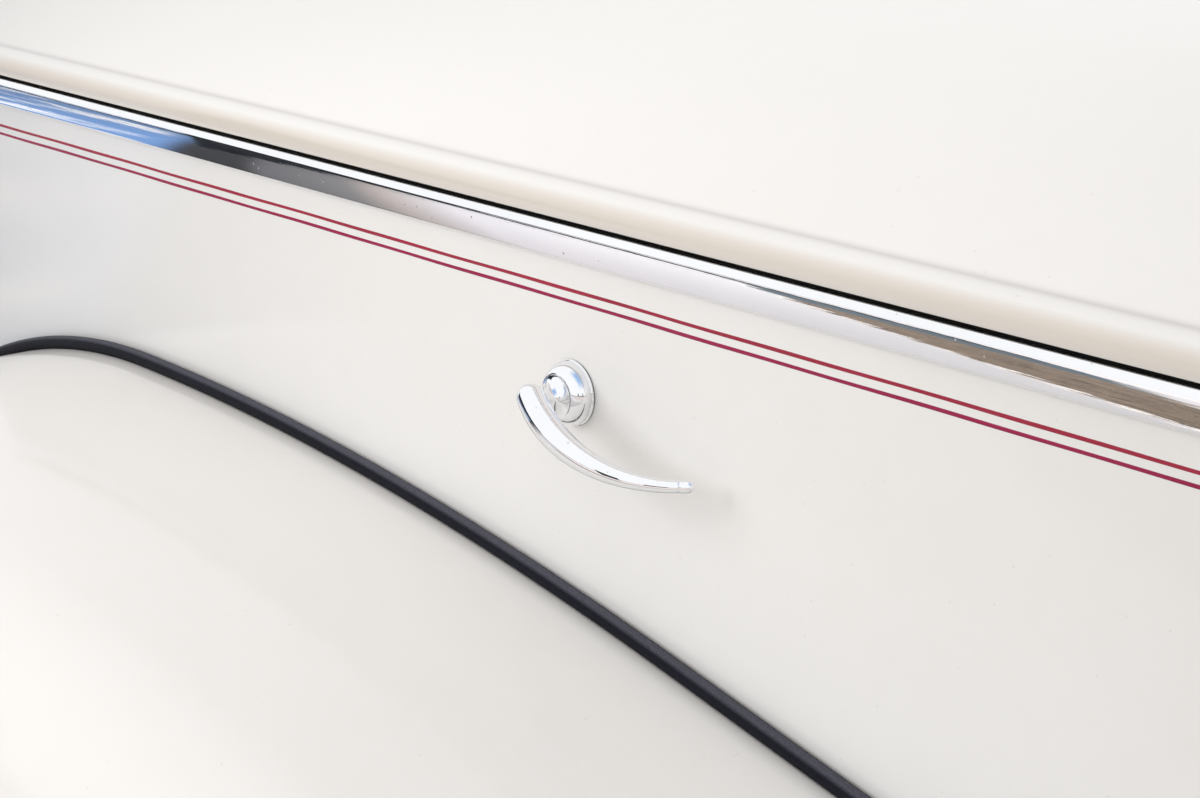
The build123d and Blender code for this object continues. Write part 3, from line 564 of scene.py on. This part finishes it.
# The rolled edge of the wheel opening: a round bar bent over the upper half of the opening.
def openingLip():
    g = wing
    out = wingSection(g["skin"] / 2)[0][-1]
    bend, around = np.linspace(0, np.pi, 160)[:, None], fullTurn(20)
    radius = g["archRadius"] + g["lip"] / 2 + g["lip"] * np.cos(around)
    return shell(stacked(g["wheelX"] + radius * np.cos(bend), -out + g["lip"] * np.sin(around),
                         g["wheelZ"] + radius * np.sin(bend)))


makePiece("wingSkin", [wingShell(), openingLip()], [ivoryPaint, underseal], "frame", "wing")

piping = {"radius": 5.5, "clearance": 0.2, "tailOut": (0.05, 3), "tailDepth": (1.4, 26), "rear": 0,
          "front": -1360}


# The share of the joint line at x: in the straight tail from the run along it, in the fall from an arcsine.
def lineShare(depth):
    g = jointLine
    tailX = g["crestRear"] + (g["tailRadius"] - depth) * np.sin(np.radians(g["tailSlope"]))
    rear = (g["tailEnd"] - piping["rear"]) / (g["tailEnd"] - tailX)
    swing = np.arcsin((g["crestFront"] - piping["front"]) / (g["fallRadius"] - depth))
    return rear, 3 + swing / np.radians(g["fallSlope"])


# The piping's bead and tail as sections of distance out and depth, carried along the joint line.
def pipingShells():
    g = piping
    angle = fullTurn(48)
    centre = g["radius"] + g["clearance"]
    bead = stacked(centre + g["radius"] * np.sin(angle), g["radius"] * np.cos(angle))
    (near, far), (top, foot) = g["tailOut"], g["tailDepth"]
    shells = []
    for section in (bead, rounded([(near, top), (far, top), (far, foot), (near, foot)], 0.5)):
        out, depth = section.T
        rear, front = lineShare(depth)
        x, z = linePoint(rear + (front - rear) * np.linspace(0, 1, 520)[:, None], depth)
        shells.append(shell(stacked(x, -out, z)))
    return shells


makePiece("wingWelting", pipingShells(), [pipingHide], "frame", "wing_piping")


lid = {"length": 1360, "skin": 1.5, "edgeZ": 109.5, "creaseY": 8, "creaseZ": 129.5, "bead": 15, "lipY": -5.5,
       "rear": (400, 240), "front": (317, 222), "start": 42, "break": 20, "hingeGap": 6, "creaseRound": 16}


# A section of the lid at x: the lip's arc, the bead's quarter turn, then a steep and a flat arc up to the
# hinge. The two arcs' radii come from their span and rise, which change evenly from rear to front. The crease
# between bead and crown is a curve whose control point is where the tangents at its two ends meet.
def lidSection(x, depth):
    g = lid
    y, z, bead, edge = g["creaseY"], g["creaseZ"], g["bead"], g["edgeZ"]
    start, middle, soft = np.radians((g["start"], g["break"], g["creaseRound"]))
    share = -x / g["length"]
    across, rise = (rear + (front - rear) * share - low
                    for rear, front, low in zip(g["rear"], g["front"], (y, z)))
    a, b = np.sin(start) - np.sin(middle), np.sin(middle)
    c, d = np.cos(middle) - np.cos(start), 1 - np.cos(middle)
    steep = (across * d - b * rise) / (a * d - b * c)
    flat = (a * rise - c * across) / (a * d - b * c)

    def swing(y, z, radius, slope):
        return y - (radius - depth) * np.sin(slope), z + (radius - depth) * np.cos(slope)

    bulgeY, bulgeZ = y - bead, z - bead
    drop, step = bulgeZ - edge, g["lipY"] - bulgeY
    lipRadius = (step ** 2 + drop ** 2) / (2 * step)
    lipZ = np.linspace(edge, bulgeZ, 10, endpoint=False) + 0 * x
    lip = bulgeY + lipRadius - np.sqrt((lipRadius - depth) ** 2 - (bulgeZ - lipZ) ** 2), lipZ
    beadY, beadZ = swing(y + 0 * x, bulgeZ + 0 * x, bead, np.linspace(np.pi / 2, soft, 24))
    centreY, centreZ = y + steep * np.sin(start), z - steep * np.cos(start)
    first = start - soft * bead / steep
    rises = np.linspace(0, 1, 40, endpoint=False)
    rising = swing(centreY, centreZ, steep, first + (middle - first) * rises)
    spanY, spanZ = rising[0][:, :1] - beadY[:, -1:], rising[1][:, :1] - beadZ[:, -1:]
    reach = (spanY * np.sin(first) - spanZ * np.cos(first)) / np.sin(first - soft)
    corner = beadY[:, -1:] + reach * np.cos(soft), beadZ[:, -1:] + reach * np.sin(soft)
    part = np.linspace(0, 1, 10)[1:-1]
    crease = [(1 - part) ** 2 * low[:, -1:] + 2 * part * (1 - part) * turn + part ** 2 * high[:, :1]
              for low, turn, high in zip((beadY, beadZ), corner, rising)]
    end = np.arcsin(g["hingeGap"] / flat)
    centreY, centreZ = centreY + (flat - steep) * np.sin(middle), centreZ - (flat - steep) * np.cos(middle)
    level = swing(centreY, centreZ, flat, middle + (end - middle) * np.linspace(0, 1, 50))
    return [np.hstack(parts) for parts in zip(lip, (beadY, beadZ), crease, rising, level)]


# The lid's skin, between two sections at the same x, one of them inside the other.
def lidShell():
    x = np.linspace(-lid["length"], 0, 60)[:, None]
    return skinShell(*(stacked(x, *lidSection(x, depth)) for depth in (0, lid["skin"])))


makePiece("lidSkin", [lidShell()], [lidPaint, innerPaint], "lid", "bonnet_lid", sharp=60)


moulding = {"top": 105.5, "height": 22, "proud": 5, "band": 4.4, "bandIn": 2.6, "length": 1360, "rear": 0,
            "bulge": (0.61, -0.915), "footIn": 1.6, "rounding": [0.3, 1, 0.6] + [5] * 11 + [0.4, 0.4, 0.3]}


# The moulding's section, carried straight along the panel: a steep top band, a face that bulges by a tenth of
# a millimetre and falls back by a third at its foot, and a small turned foot. The bulge is one number times
# the share of the way down and another times its square.
def mouldingShell():
    g = moulding
    low, high = g["top"] - g["height"], g["top"] - g["band"]
    z = np.linspace(high, low + 1, 13)
    down = (high - z) / (high - low - 1)
    bulge = g["bulge"][0] * down + g["bulge"][1] * down ** 2
    outline = [(0, g["top"]), (g["bandIn"] - g["proud"], g["top"]), *stacked(-g["proud"] - bulge, z),
               (g["footIn"] - g["proud"], low), (0, low)]
    x = np.linspace(g["rear"], -g["length"], 90)[:, None]
    return shell(stacked(x, *rounded(outline, g["rounding"]).T))


makePiece("mouldingStrip", [mouldingShell()], [chrome], "frame", "side_moulding", sharp=50)

coachlines = {"places": (64.5, 57.5), "width": 2.3, "proud": 0.09, "span": (-1358, -2),
              "wander": ((0.12, 47, 0), (0.08, 19, 1)), "edge": (0.06, 31)}


# Two painted lines: thin ribbons along the panel, a hair proud of it, whose edges wander a little as a
# brushed line's do, by sines of a height and a length.
def coachlineShells():
    g = coachlines
    x = np.linspace(*g["span"], 400)[:, None]
    wander = sum(height * np.sin(x / length + start) for height, length, start in g["wander"])
    across = np.array([-1, -0.96, 0.96, 1, 0.96, -0.96])
    proud = np.array([0, 1, 1, 0, -1, -1]) * g["proud"]
    height, length = g["edge"]
    shells = []
    for k, place in enumerate(g["places"]):
        width = g["width"] / 2 + height * np.sin(x / length + 2 * k)
        shells.append(shell(stacked(x, -proud, place + wander + across * width)))
    return shells


makePiece("coachlines", coachlineShells(), [crimsonLine], "frame", sharp=80)


lever = {"foot": 13.9, "socket": 6.05, "footRadius": 13.8, "neck": 6.5, "flare": 2,
         "neckHeights": (0.4, 0.7, 3.4, 10), "elbowOut": 34.5, "elbow": 7.0, "start": (0, 33.6, 2.4),
         "middle": (66, 40.2, -23.3), "end": (129.7, 19.6, -25.0), "radii": (9.1, 7.9, 4.9, 3.7),
         "places": (0, 0.4, 0.75, 1), "groove": (5.2, 0.35, 0.45), "cap": 0.2}
base = {"low": 0.6, "rim": 1.4, "height": 13, "radius": 21, "step": 0.7, "edges": (0.2, 0.3),
        "shoulder": (18.7, 9.0), "top": 14.2, "bore": 6.4}


# An arc through three points: its centre, two square directions, radius, end angle and normal.
def arcThrough(first, middle, last):
    first, middle, last = (np.asarray(p, float) for p in (first, middle, last))
    a, b = middle - first, last - first
    normal = np.cross(a, b)
    centre = first + (np.cross(normal, a) * (b @ b) + np.cross(b, normal) * (a @ a)) / (2 * normal @ normal)
    radius = np.linalg.norm(first - centre)
    normal = normal / np.linalg.norm(normal)
    across = (first - centre) / radius
    along = np.cross(normal, across)
    end = np.arctan2((last - centre) @ along, (last - centre) @ across) % (2 * np.pi)
    return centre, across, along, radius, end, normal


# Points along the arc through three points of a flat outline.
def flatArc(first, middle, last, steps):
    centre, across, along, radius, end, _ = arcThrough(*[(x, y, 0) for x, y in (first, middle, last)])
    turn = np.linspace(0, end, steps)[:, None]
    return (centre + radius * (across * np.cos(turn) + along * np.sin(turn)))[:, :2]


# The arm: round sections along one arc, whose radius is the smooth curve through four given radii, less a
# narrow bell-shaped groove before the tip's cap, closed by a half ball at each end.
def armShell():
    g = lever
    points = [(handleX + x, -out, z) for x, out, z in (g["start"], g["middle"], g["end"])]
    centre, across, along, radius, end, normal = arcThrough(*points)
    fit = np.polyfit(g["places"], g["radii"], 3)
    body = np.concatenate([np.linspace(0, 0.9, 100, endpoint=False), np.linspace(0.9, 1, 60)])
    toTip = (1 - body) * radius * end
    back, deep, wide = g["groove"]
    size = (np.polyval(fit, body) - deep * np.exp(-((toTip - back) / wide) ** 2)
            + g["cap"] * np.exp(-np.clip(toTip / back, 0, None) ** 6))
    ball = np.linspace(0, np.pi / 2, 14)[1:]
    # half balls: the section moves on by the end radius times a sine and shrinks by its cosine
    share = np.concatenate([-(size[0] * np.sin(ball[::-1])) / (radius * end), body,
                            1 + size[-1] * np.sin(ball) / (radius * end)])
    size = np.concatenate([size[0] * np.cos(ball[::-1]), size, size[-1] * np.cos(ball)])
    turn = share[:, None, None] * end
    spin = fullTurn(48)[None, :, None]
    outwards = across * np.cos(turn) + along * np.sin(turn)
    section = outwards * np.cos(spin) + normal * np.sin(spin)
    return shell(centre + radius * outwards + size[:, None, None] * section, caps=False)


# The neck: a trumpet that narrows from its foot to the elbow, which is a ball.
def neckShell():
    g = lever
    foot, wide, narrow = g["foot"], g["footRadius"], g["neck"]
    lip, low, middle, high = g["neckHeights"]
    trumpet = flatArc((wide, foot + low), (narrow + g["flare"], foot + middle), (narrow, foot + high), 40)
    ball = np.linspace(0, np.pi / 2, 16)
    return turnedShell([(g["socket"], foot), (wide - lip, foot), (wide, foot + lip), *trumpet,
                        *stacked(g["elbow"] * np.cos(ball), g["elbowOut"] + g["elbow"] * np.sin(ball)),
                        (0, foot + high), (g["socket"], foot + high)])


# The base: a thin rim, a step and a full dome, which is one arc by way of its shoulder.
def baseShell():
    g = base
    low, rim, high, wide = g["low"], g["low"] + g["rim"], g["low"] + g["height"], g["radius"]
    under, over = g["edges"]
    dome = flatArc((wide - g["step"], rim), g["shoulder"], (g["top"], high), 46)
    return turnedShell([(g["bore"], low), (wide - under, low), (wide, low + under), (wide, rim - over),
                        (wide - over, rim), *dome, (g["bore"], high)])


makePiece("leverArm", [armShell(), neckShell()], [chrome], "handle", "handle_lever")
makePiece("leverBase", [baseShell()], [chrome], "frame", "handle_base")


# Each kind's profile from its foot to its middle: radius, height and how far the round is a hexagon.
fasteners = {"nut": ((6.6, 0, 0), (6.6, 1.2, 0), (5, 1.2, 1), (5, 5.2, 1), (4.4, 6, 0.5), (3, 6, 0),
                     (3, 8.2, 0), (2.4, 8.8, 0)),
             "screw": ((4.6, 0, 0), (4.6, 1.1, 0), (3.9, 2.3, 0), (2.6, 2.9, 0), (1.7, 2.9, 1),
                       (1.7, 1.2, 1)),
             "rivet": ((3.2, -0.3, 0), (3.2, 0.2, 0), (2.7, 0.7, 0), (1.5, 1.05, 0), (0.4, 1.15, 0))}
# Where they sit: X and heights, pitches, the radii of rings, the splash panel's X and the gap to it, and each
# kind's distance inboard of the panel's face.
spots = {"arches": ((-22, (-290, -190, 10, 80)), (-1338, (-230, -150, -70, 10, 80))), "end": -1300,
         "stud": (-105, 94.5), "studPitch": 150, "line": (-60, 20), "linePitch": 110, "splash": (-700, 12),
         "guideX": (-1255, -900, -430, -110), "guideZ": (35.7, 64.3), "flangeRing": 17, "padRing": 16.5,
         "stays": ((-1262, -289), (-760, -330)), "nutY": 3.5, "outerNutY": -4.5, "studY": 1.5, "flangeY": 5.5,
         "guideY": 4.5, "padY": -2.5, "rivetPitch": 60, "rivetStart": -30, "rivetInset": 18}


# One shell for each place, on a surface that faces along direction. A hexagon's radius is its half width over
# the cosine of the angle from the middle of a side.
def fastenerShells(kind, places, direction):
    radius, height, hexagon = np.array(fasteners[kind], float).T[:, :, None]
    direction = np.array(direction, float)
    other = np.cross(direction, (1, 0, 0))
    angle = fullTurn(24)
    flat = 1 / np.cos(angle % (np.pi / 3) - np.pi / 6)
    radius = (radius * (1 + hexagon * (flat - 1)))[..., None]
    shells = []
    for k, place in enumerate(places):
        turned = (angle + 1.9 * k)[:, None]
        ring = np.cos(turned) * (1, 0, 0) + np.sin(turned) * other
        shells.append(shell(place + radius * ring + height[..., None] * direction))
    return shells


# Places along the joint line at a depth below it, evenly in X, clear of the splash panel.
def linePlaces(y):
    start, depth = spots["line"]
    x, z = linePoint(np.linspace(0, 4, 3000), depth)
    at = np.arange(start, spots["end"], -spots["linePitch"])
    at = at[np.abs(at - spots["splash"][0]) > spots["splash"][1]]
    return stacked(at, y, np.interp(at, x[::-1], z[::-1]))


# Places on an upright ring: its centre plus the radius times the cosine and sine of each angle.
def ringPlaces(x, y, z, radius, degrees):
    turn = np.radians(degrees)
    return stacked(x + radius * np.cos(turn), y, z + radius * np.sin(turn))


def frameFasteners():
    g = spots
    inside, outside = (0, 1, 0), (0, -1, 0)
    arches = [(x, g["nutY"], z) for x, heights in g["arches"] for z in heights]
    start, height = g["stud"]
    studs = [(x, g["studY"], height) for x in range(start, g["end"], -g["studPitch"])]
    flange = ringPlaces(handleX, g["flangeY"], 0, g["flangeRing"], (90, 210, 330))
    guides = [(x, g["guideY"], z) for x in g["guideX"] for z in g["guideZ"]]
    shells = [*fastenerShells("nut", arches + studs, inside),
              *fastenerShells("nut", linePlaces(g["nutY"]), inside),
              *fastenerShells("nut", linePlaces(g["outerNutY"]), outside),
              *fastenerShells("screw", [*flange, *guides], inside)]
    wingSide = g["flangeY"] - wingSection(0)[0][-1]
    for x, z in g["stays"]:
        for y, direction in ((g["padY"], outside), (wingSide, inside)):
            pads = ringPlaces(x, y, z, g["padRing"], (0, 90, 180, 270))
            shells += fastenerShells("rivet", pads, direction)
        shells += fastenerShells("nut", [(x, g["nutY"], z)], inside)
    return shells


# The hinge leaf's rivets show on the lid, at a distance from its upper edge.
def lidRivets():
    x = np.arange(spots["rivetStart"], 20 - lid["length"], -spots["rivetPitch"])[:, None]
    y, z = lidSection(x, 0)
    at = y[:, -1] - spots["rivetInset"]
    places = [(x[k, 0], at[k], np.interp(at[k], y[k, -50:], z[k, -50:])) for k in range(len(x))]
    return fastenerShells("rivet", places, (0, 0, 1))


makePiece("frameFasteners", frameFasteners(), [platedSteel], "frame", sharp=30)
makePiece("lidRivets", lidRivets(), [lidPaint], "lid", sharp=40)


stage = {"floorZ": -0.702, "reach": 14, "floor": (0.80, 0.79, 0.77), "bounce": (0.60, 0.57, 0.54),
         "boards": (-1.68, 0.34), "boardSides": (-0.62, 0.9), "boardHeights": (-0.3, 1.05),
         "boardTones": ((0.30, 0.32, 0.34), (0.34, 0.36, 0.38)),
         "cardTones": ((0.012, 0.016, 0.024), (0.05, 0.055, 0.065))}
# Dark cards about the lever that only polished pieces see. Each has two directions from the lever, in degrees
# from straight out of the panel toward the rear, a distance, and the heights of its foot and two top corners.
cards = ((-70, -44, 1.2, -0.06, 0.38, 0.03), (-14, -6, 1.5, -0.24, 0.30, 0.22),
         (4, 11, 1.0, -0.08, 0.10, 0.06), (48, 88, 1.0, -0.012, 0.012, 0.012),
         (50, 55, 1.0, 0.0, 0.10, 0.16), (76, 80, 1.0, 0.0, 0.16, 0.12))


def flatSheet(name, corners, material):
    mesh = bpy.data.meshes.new(name)
    mesh.from_pydata(corners, [], [(0, 1, 2, 3)])
    mesh.materials.append(material)
    sheet = newObject(name, mesh)
    return sheet


# A level sheet from the far front to a value of Y.
def levelSheet(name, back, z, material):
    reach = stage["reach"]
    corners = [(-reach, -reach, z), (reach, -reach, z), (reach, back, z), (-reach, back, z)]
    return flatSheet(name, corners, material)


# An upright sheet between two places, with a height for its foot and one for each top corner.
def uprightSheet(name, first, last, foot, highFirst, highLast, material):
    corners = [(*first, foot), (*last, foot), (*last, highLast), (*first, highFirst)]
    return flatSheet(name, corners, material)


# The floor is pale, and throws back a warmer and dimmer light.
def makeFloor():
    g = stage
    material, tree, shader, place = startMaterial("paleFloor", Roughness=0.8)
    ray = addNode(tree, "ShaderNodeLightPath").outputs["Is Diffuse Ray"]
    tint = driftTint(tree, place, 0.6, g["floor"], 0.97 * np.array(g["floor"]))
    link(tree, shader, Base_Color=mixColour(tree, ray, tint["Colour"], opaque(g["bounce"])))
    levelSheet("floor", g["reach"], g["floorZ"], material)


ground = {"skew": 1.4, "middle": -2.2, "from": -6.5, "to": -2.5, "back": -0.8, "lift": 0.004,
          "bands": ((0.0, (0.13, 0.25, 0.50)), (0.43, (0.13, 0.25, 0.50)), (0.455, (0.02, 0.02, 0.022)),
                    (0.515, (0.02, 0.02, 0.022)), (0.535, (0.10, 0.10, 0.108)), (0.62, (0.15, 0.148, 0.152)),
                    (0.66, (0.33, 0.29, 0.275)), (0.74, (0.54, 0.525, 0.55)), (1.0, (0.56, 0.55, 0.565))),
          "clouds": (0.50, 0.62), "cloudEnd": (-4.8, -4.9), "cloudTone": (0.80, 0.83, 0.88),
          "near": (-1.3, -0.5), "nearTone": (0.74, 0.675, 0.655), "wedge": (-2.5, -1.35), "wedgeFoot": -1.30,
          "wedgeDrop": 1.52, "wedgeRate": -4.0, "wedgeEnd": -3.3, "wedgeBlend": 0.1, "edgeBlend": 0.05,
          "browns": ((0.10, 0.075, 0.055), (0.25, 0.195, 0.15)), "grey": (-2.5, -2.66),
          "greyTone": (0.085, 0.115, 0.14), "rim": (-0.07, -0.03), "rimTone": (0.93, 0.88, 0.82),
          "farLine": -2.78, "farTone": (0.04, 0.045, 0.05)}


# What the polished pieces see of the ground: a sheet just above the floor that no other ray meets. Along
# lines that run away from the moulding it passes from clouded blue over dark to pale grey, and a brown
# wedge opens at its near end.
def makeGround():
    g = ground
    material, tree, shader, place = startMaterial("groundSheet", Roughness=1.0)
    part = axes(tree, place)
    away = maths(tree, "SUBTRACT", g["middle"], part["Y"])
    across = maths(tree, "MULTIPLY_ADD", away, g["skew"], part["X"])
    ramp = addNode(tree, "ShaderNodeValToRGB", {"Fac": spread(tree, across, g["from"], g["to"])})
    elements = ramp.color_ramp.elements
    while len(elements) < len(g["bands"]):
        elements.new(1.0)
    for element, (position, colour) in zip(elements, g["bands"]):
        element.position, element.color = position, opaque(colour)
    clouds = spread(tree, noise(tree, place, 1.6, 4.0), *g["clouds"])
    white = product(tree, clouds, spread(tree, across, *g["cloudEnd"]))
    colour = mixColour(tree, white, ramp.outputs["Color"], opaque(g["cloudTone"]))
    colour = mixColour(tree, spread(tree, across, *g["near"]), colour, opaque(g["nearTone"]))
    wave = {"Vector": place, "Scale": 3.0, "Distortion": 5.0, "Detail": 3.0}
    streaks = addNode(tree, "ShaderNodeTexWave", wave, bands_direction="Y").outputs["Fac"]
    brown = mixColour(tree, streaks, *(opaque(tone) for tone in g["browns"]))
    brown = mixColour(tree, spread(tree, part["Y"], *g["grey"]), brown, opaque(g["greyTone"]))
    # the wedge ends at foot - drop * exp(rate * run), where run is measured across from its start
    start, end = g["wedge"]
    run = maths(tree, "SUBTRACT", across, start)
    fade = maths(tree, "EXPONENT", product(tree, run, g["wedgeRate"]))
    line = maths(tree, "MULTIPLY_ADD", fade, -g["wedgeDrop"], g["wedgeFoot"])
    edge = maths(tree, "SUBTRACT", line, part["Y"])
    near = product(tree, spread(tree, across, end, end - g["wedgeBlend"]),
                 spread(tree, part["Y"], g["wedgeEnd"], g["wedgeEnd"] + g["wedgeBlend"]))
    inside = product(tree, near, maths(tree, "GREATER_THAN", run, 0.0))
    rim = product(tree, inside, spread(tree, edge, *g["rim"]))
    colour = mixColour(tree, rim, colour, opaque(g["rimTone"]))
    filled = product(tree, inside, spread(tree, edge, 0.0, g["edgeBlend"]))
    colour = mixColour(tree, filled, colour, brown)
    far = product(tree, near, spread(tree, part["Y"], g["farLine"] + g["edgeBlend"], g["farLine"]))
    link(tree, shader, Base_Color=mixColour(tree, far, colour, opaque(g["farTone"])))
    sheet = levelSheet("groundSheet", g["back"], stage["floorZ"] + g["lift"], material)
    sheet.visible_camera = sheet.visible_diffuse = sheet.visible_shadow = False


# A dull material that drifts between two tones.
def makeDull(name, scale, tones):
    material, tree, shader, place = startMaterial(name, Roughness=1.0)
    link(tree, shader, Base_Color=driftTint(tree, place, scale, *tones)["Colour"])
    return material


# Grey boards in front of the nose and behind the tail, out of view, softly shade the two ends.
def makeBoards():
    (near, far), (low, high) = stage["boardSides"], stage["boardHeights"]
    material = makeDull("greyBoard", 1.0, stage["boardTones"])
    for x in stage["boards"]:
        board = uprightSheet("greyBoard", (x, near), (x, far), low, high, high, material)
        board.visible_camera = board.visible_glossy = False


def makeCards():
    material = makeDull("darkCard", 14.0, stage["cardTones"])
    for first, last, away, foot, highFirst, highLast in cards:
        turns = np.radians((first, last))
        places = stacked(handleX / 1000 + away * np.sin(turns), panelFace - away * np.cos(turns))
        card = uprightSheet("darkCard", *places, foot, highFirst, highLast, material)
        card.visible_camera = card.visible_diffuse = card.visible_shadow = False


sky = {"strength": 0.97, "low": (0.90, 0.915, 0.935), "high": (1.17, 1.115, 1.07), "polished": 1.1,
       "white": (0.98, 0.99, 1.0), "blue": (0.36, 0.53, 0.82), "below": (0.50, 0.48, 0.47),
       "blueX": (-0.2, 0.25), "blueY": (-0.5, -0.25), "blueZ": (0.35, 0.75)}


# The world: for most rays a plain soft sky, warmer overhead. Polished pieces see a white one with a patch of
# blue high up toward the rear. All of it follows the ray's direction.
def makeSky():
    g = sky
    world = bpy.data.worlds.new("softSky")
    bpy.context.scene.world = world
    world.use_nodes = True
    tree = world.node_tree
    plain = tree.nodes["Background"]
    part = axes(tree, addNode(tree, "ShaderNodeTexCoord").outputs["Generated"])
    soft = mixColour(tree, spread(tree, part["Z"], 0.0, 0.9), opaque(g["low"]), opaque(g["high"]))
    tree.links.new(soft, plain.inputs["Color"])
    plain.inputs["Strength"].default_value = g["strength"]
    aside = product(tree, spread(tree, part["X"], *g["blueX"]), spread(tree, part["Z"], *g["blueZ"]))
    patch = product(tree, aside, spread(tree, part["Y"], *g["blueY"]))
    above = mixColour(tree, patch, opaque(g["white"]), opaque(g["blue"]))
    seen = mixColour(tree, spread(tree, part["Z"], -0.006, 0.0), opaque(g["below"]), above)
    bright = addNode(tree, "ShaderNodeBackground", {"Color": seen, "Strength": g["polished"]}).outputs[0]
    ray = addNode(tree, "ShaderNodeLightPath").outputs["Is Glossy Ray"]
    both = addNode(tree, "ShaderNodeMixShader", {0: ray, 1: plain.outputs[0], 2: bright}).outputs[0]
    tree.links.new(both, tree.nodes["World Output"].inputs["Surface"])


lamp = {"place": (-3.6, -3.4, 1.6), "aim": (-0.4, -0.05, 0), "size": (2.6, 2.6), "power": 96}


def makeLamp():
    data = bpy.data.lights.new("softKey", "AREA")
    data.shape, data.size, data.size_y, data.energy = "RECTANGLE", *lamp["size"], lamp["power"]
    key = newObject("softKey", data)
    key.location = lamp["place"]
    key.visible_glossy = False
    key.rotation_euler = (Vector(lamp["aim"]) - key.location).to_track_quat("-Z", "Y").to_euler()


makeFloor()
makeGround()
makeBoards()
makeCards()
makeSky()
makeLamp()
print("stage made")
bpy.context.scene.view_settings.view_transform = "Standard"
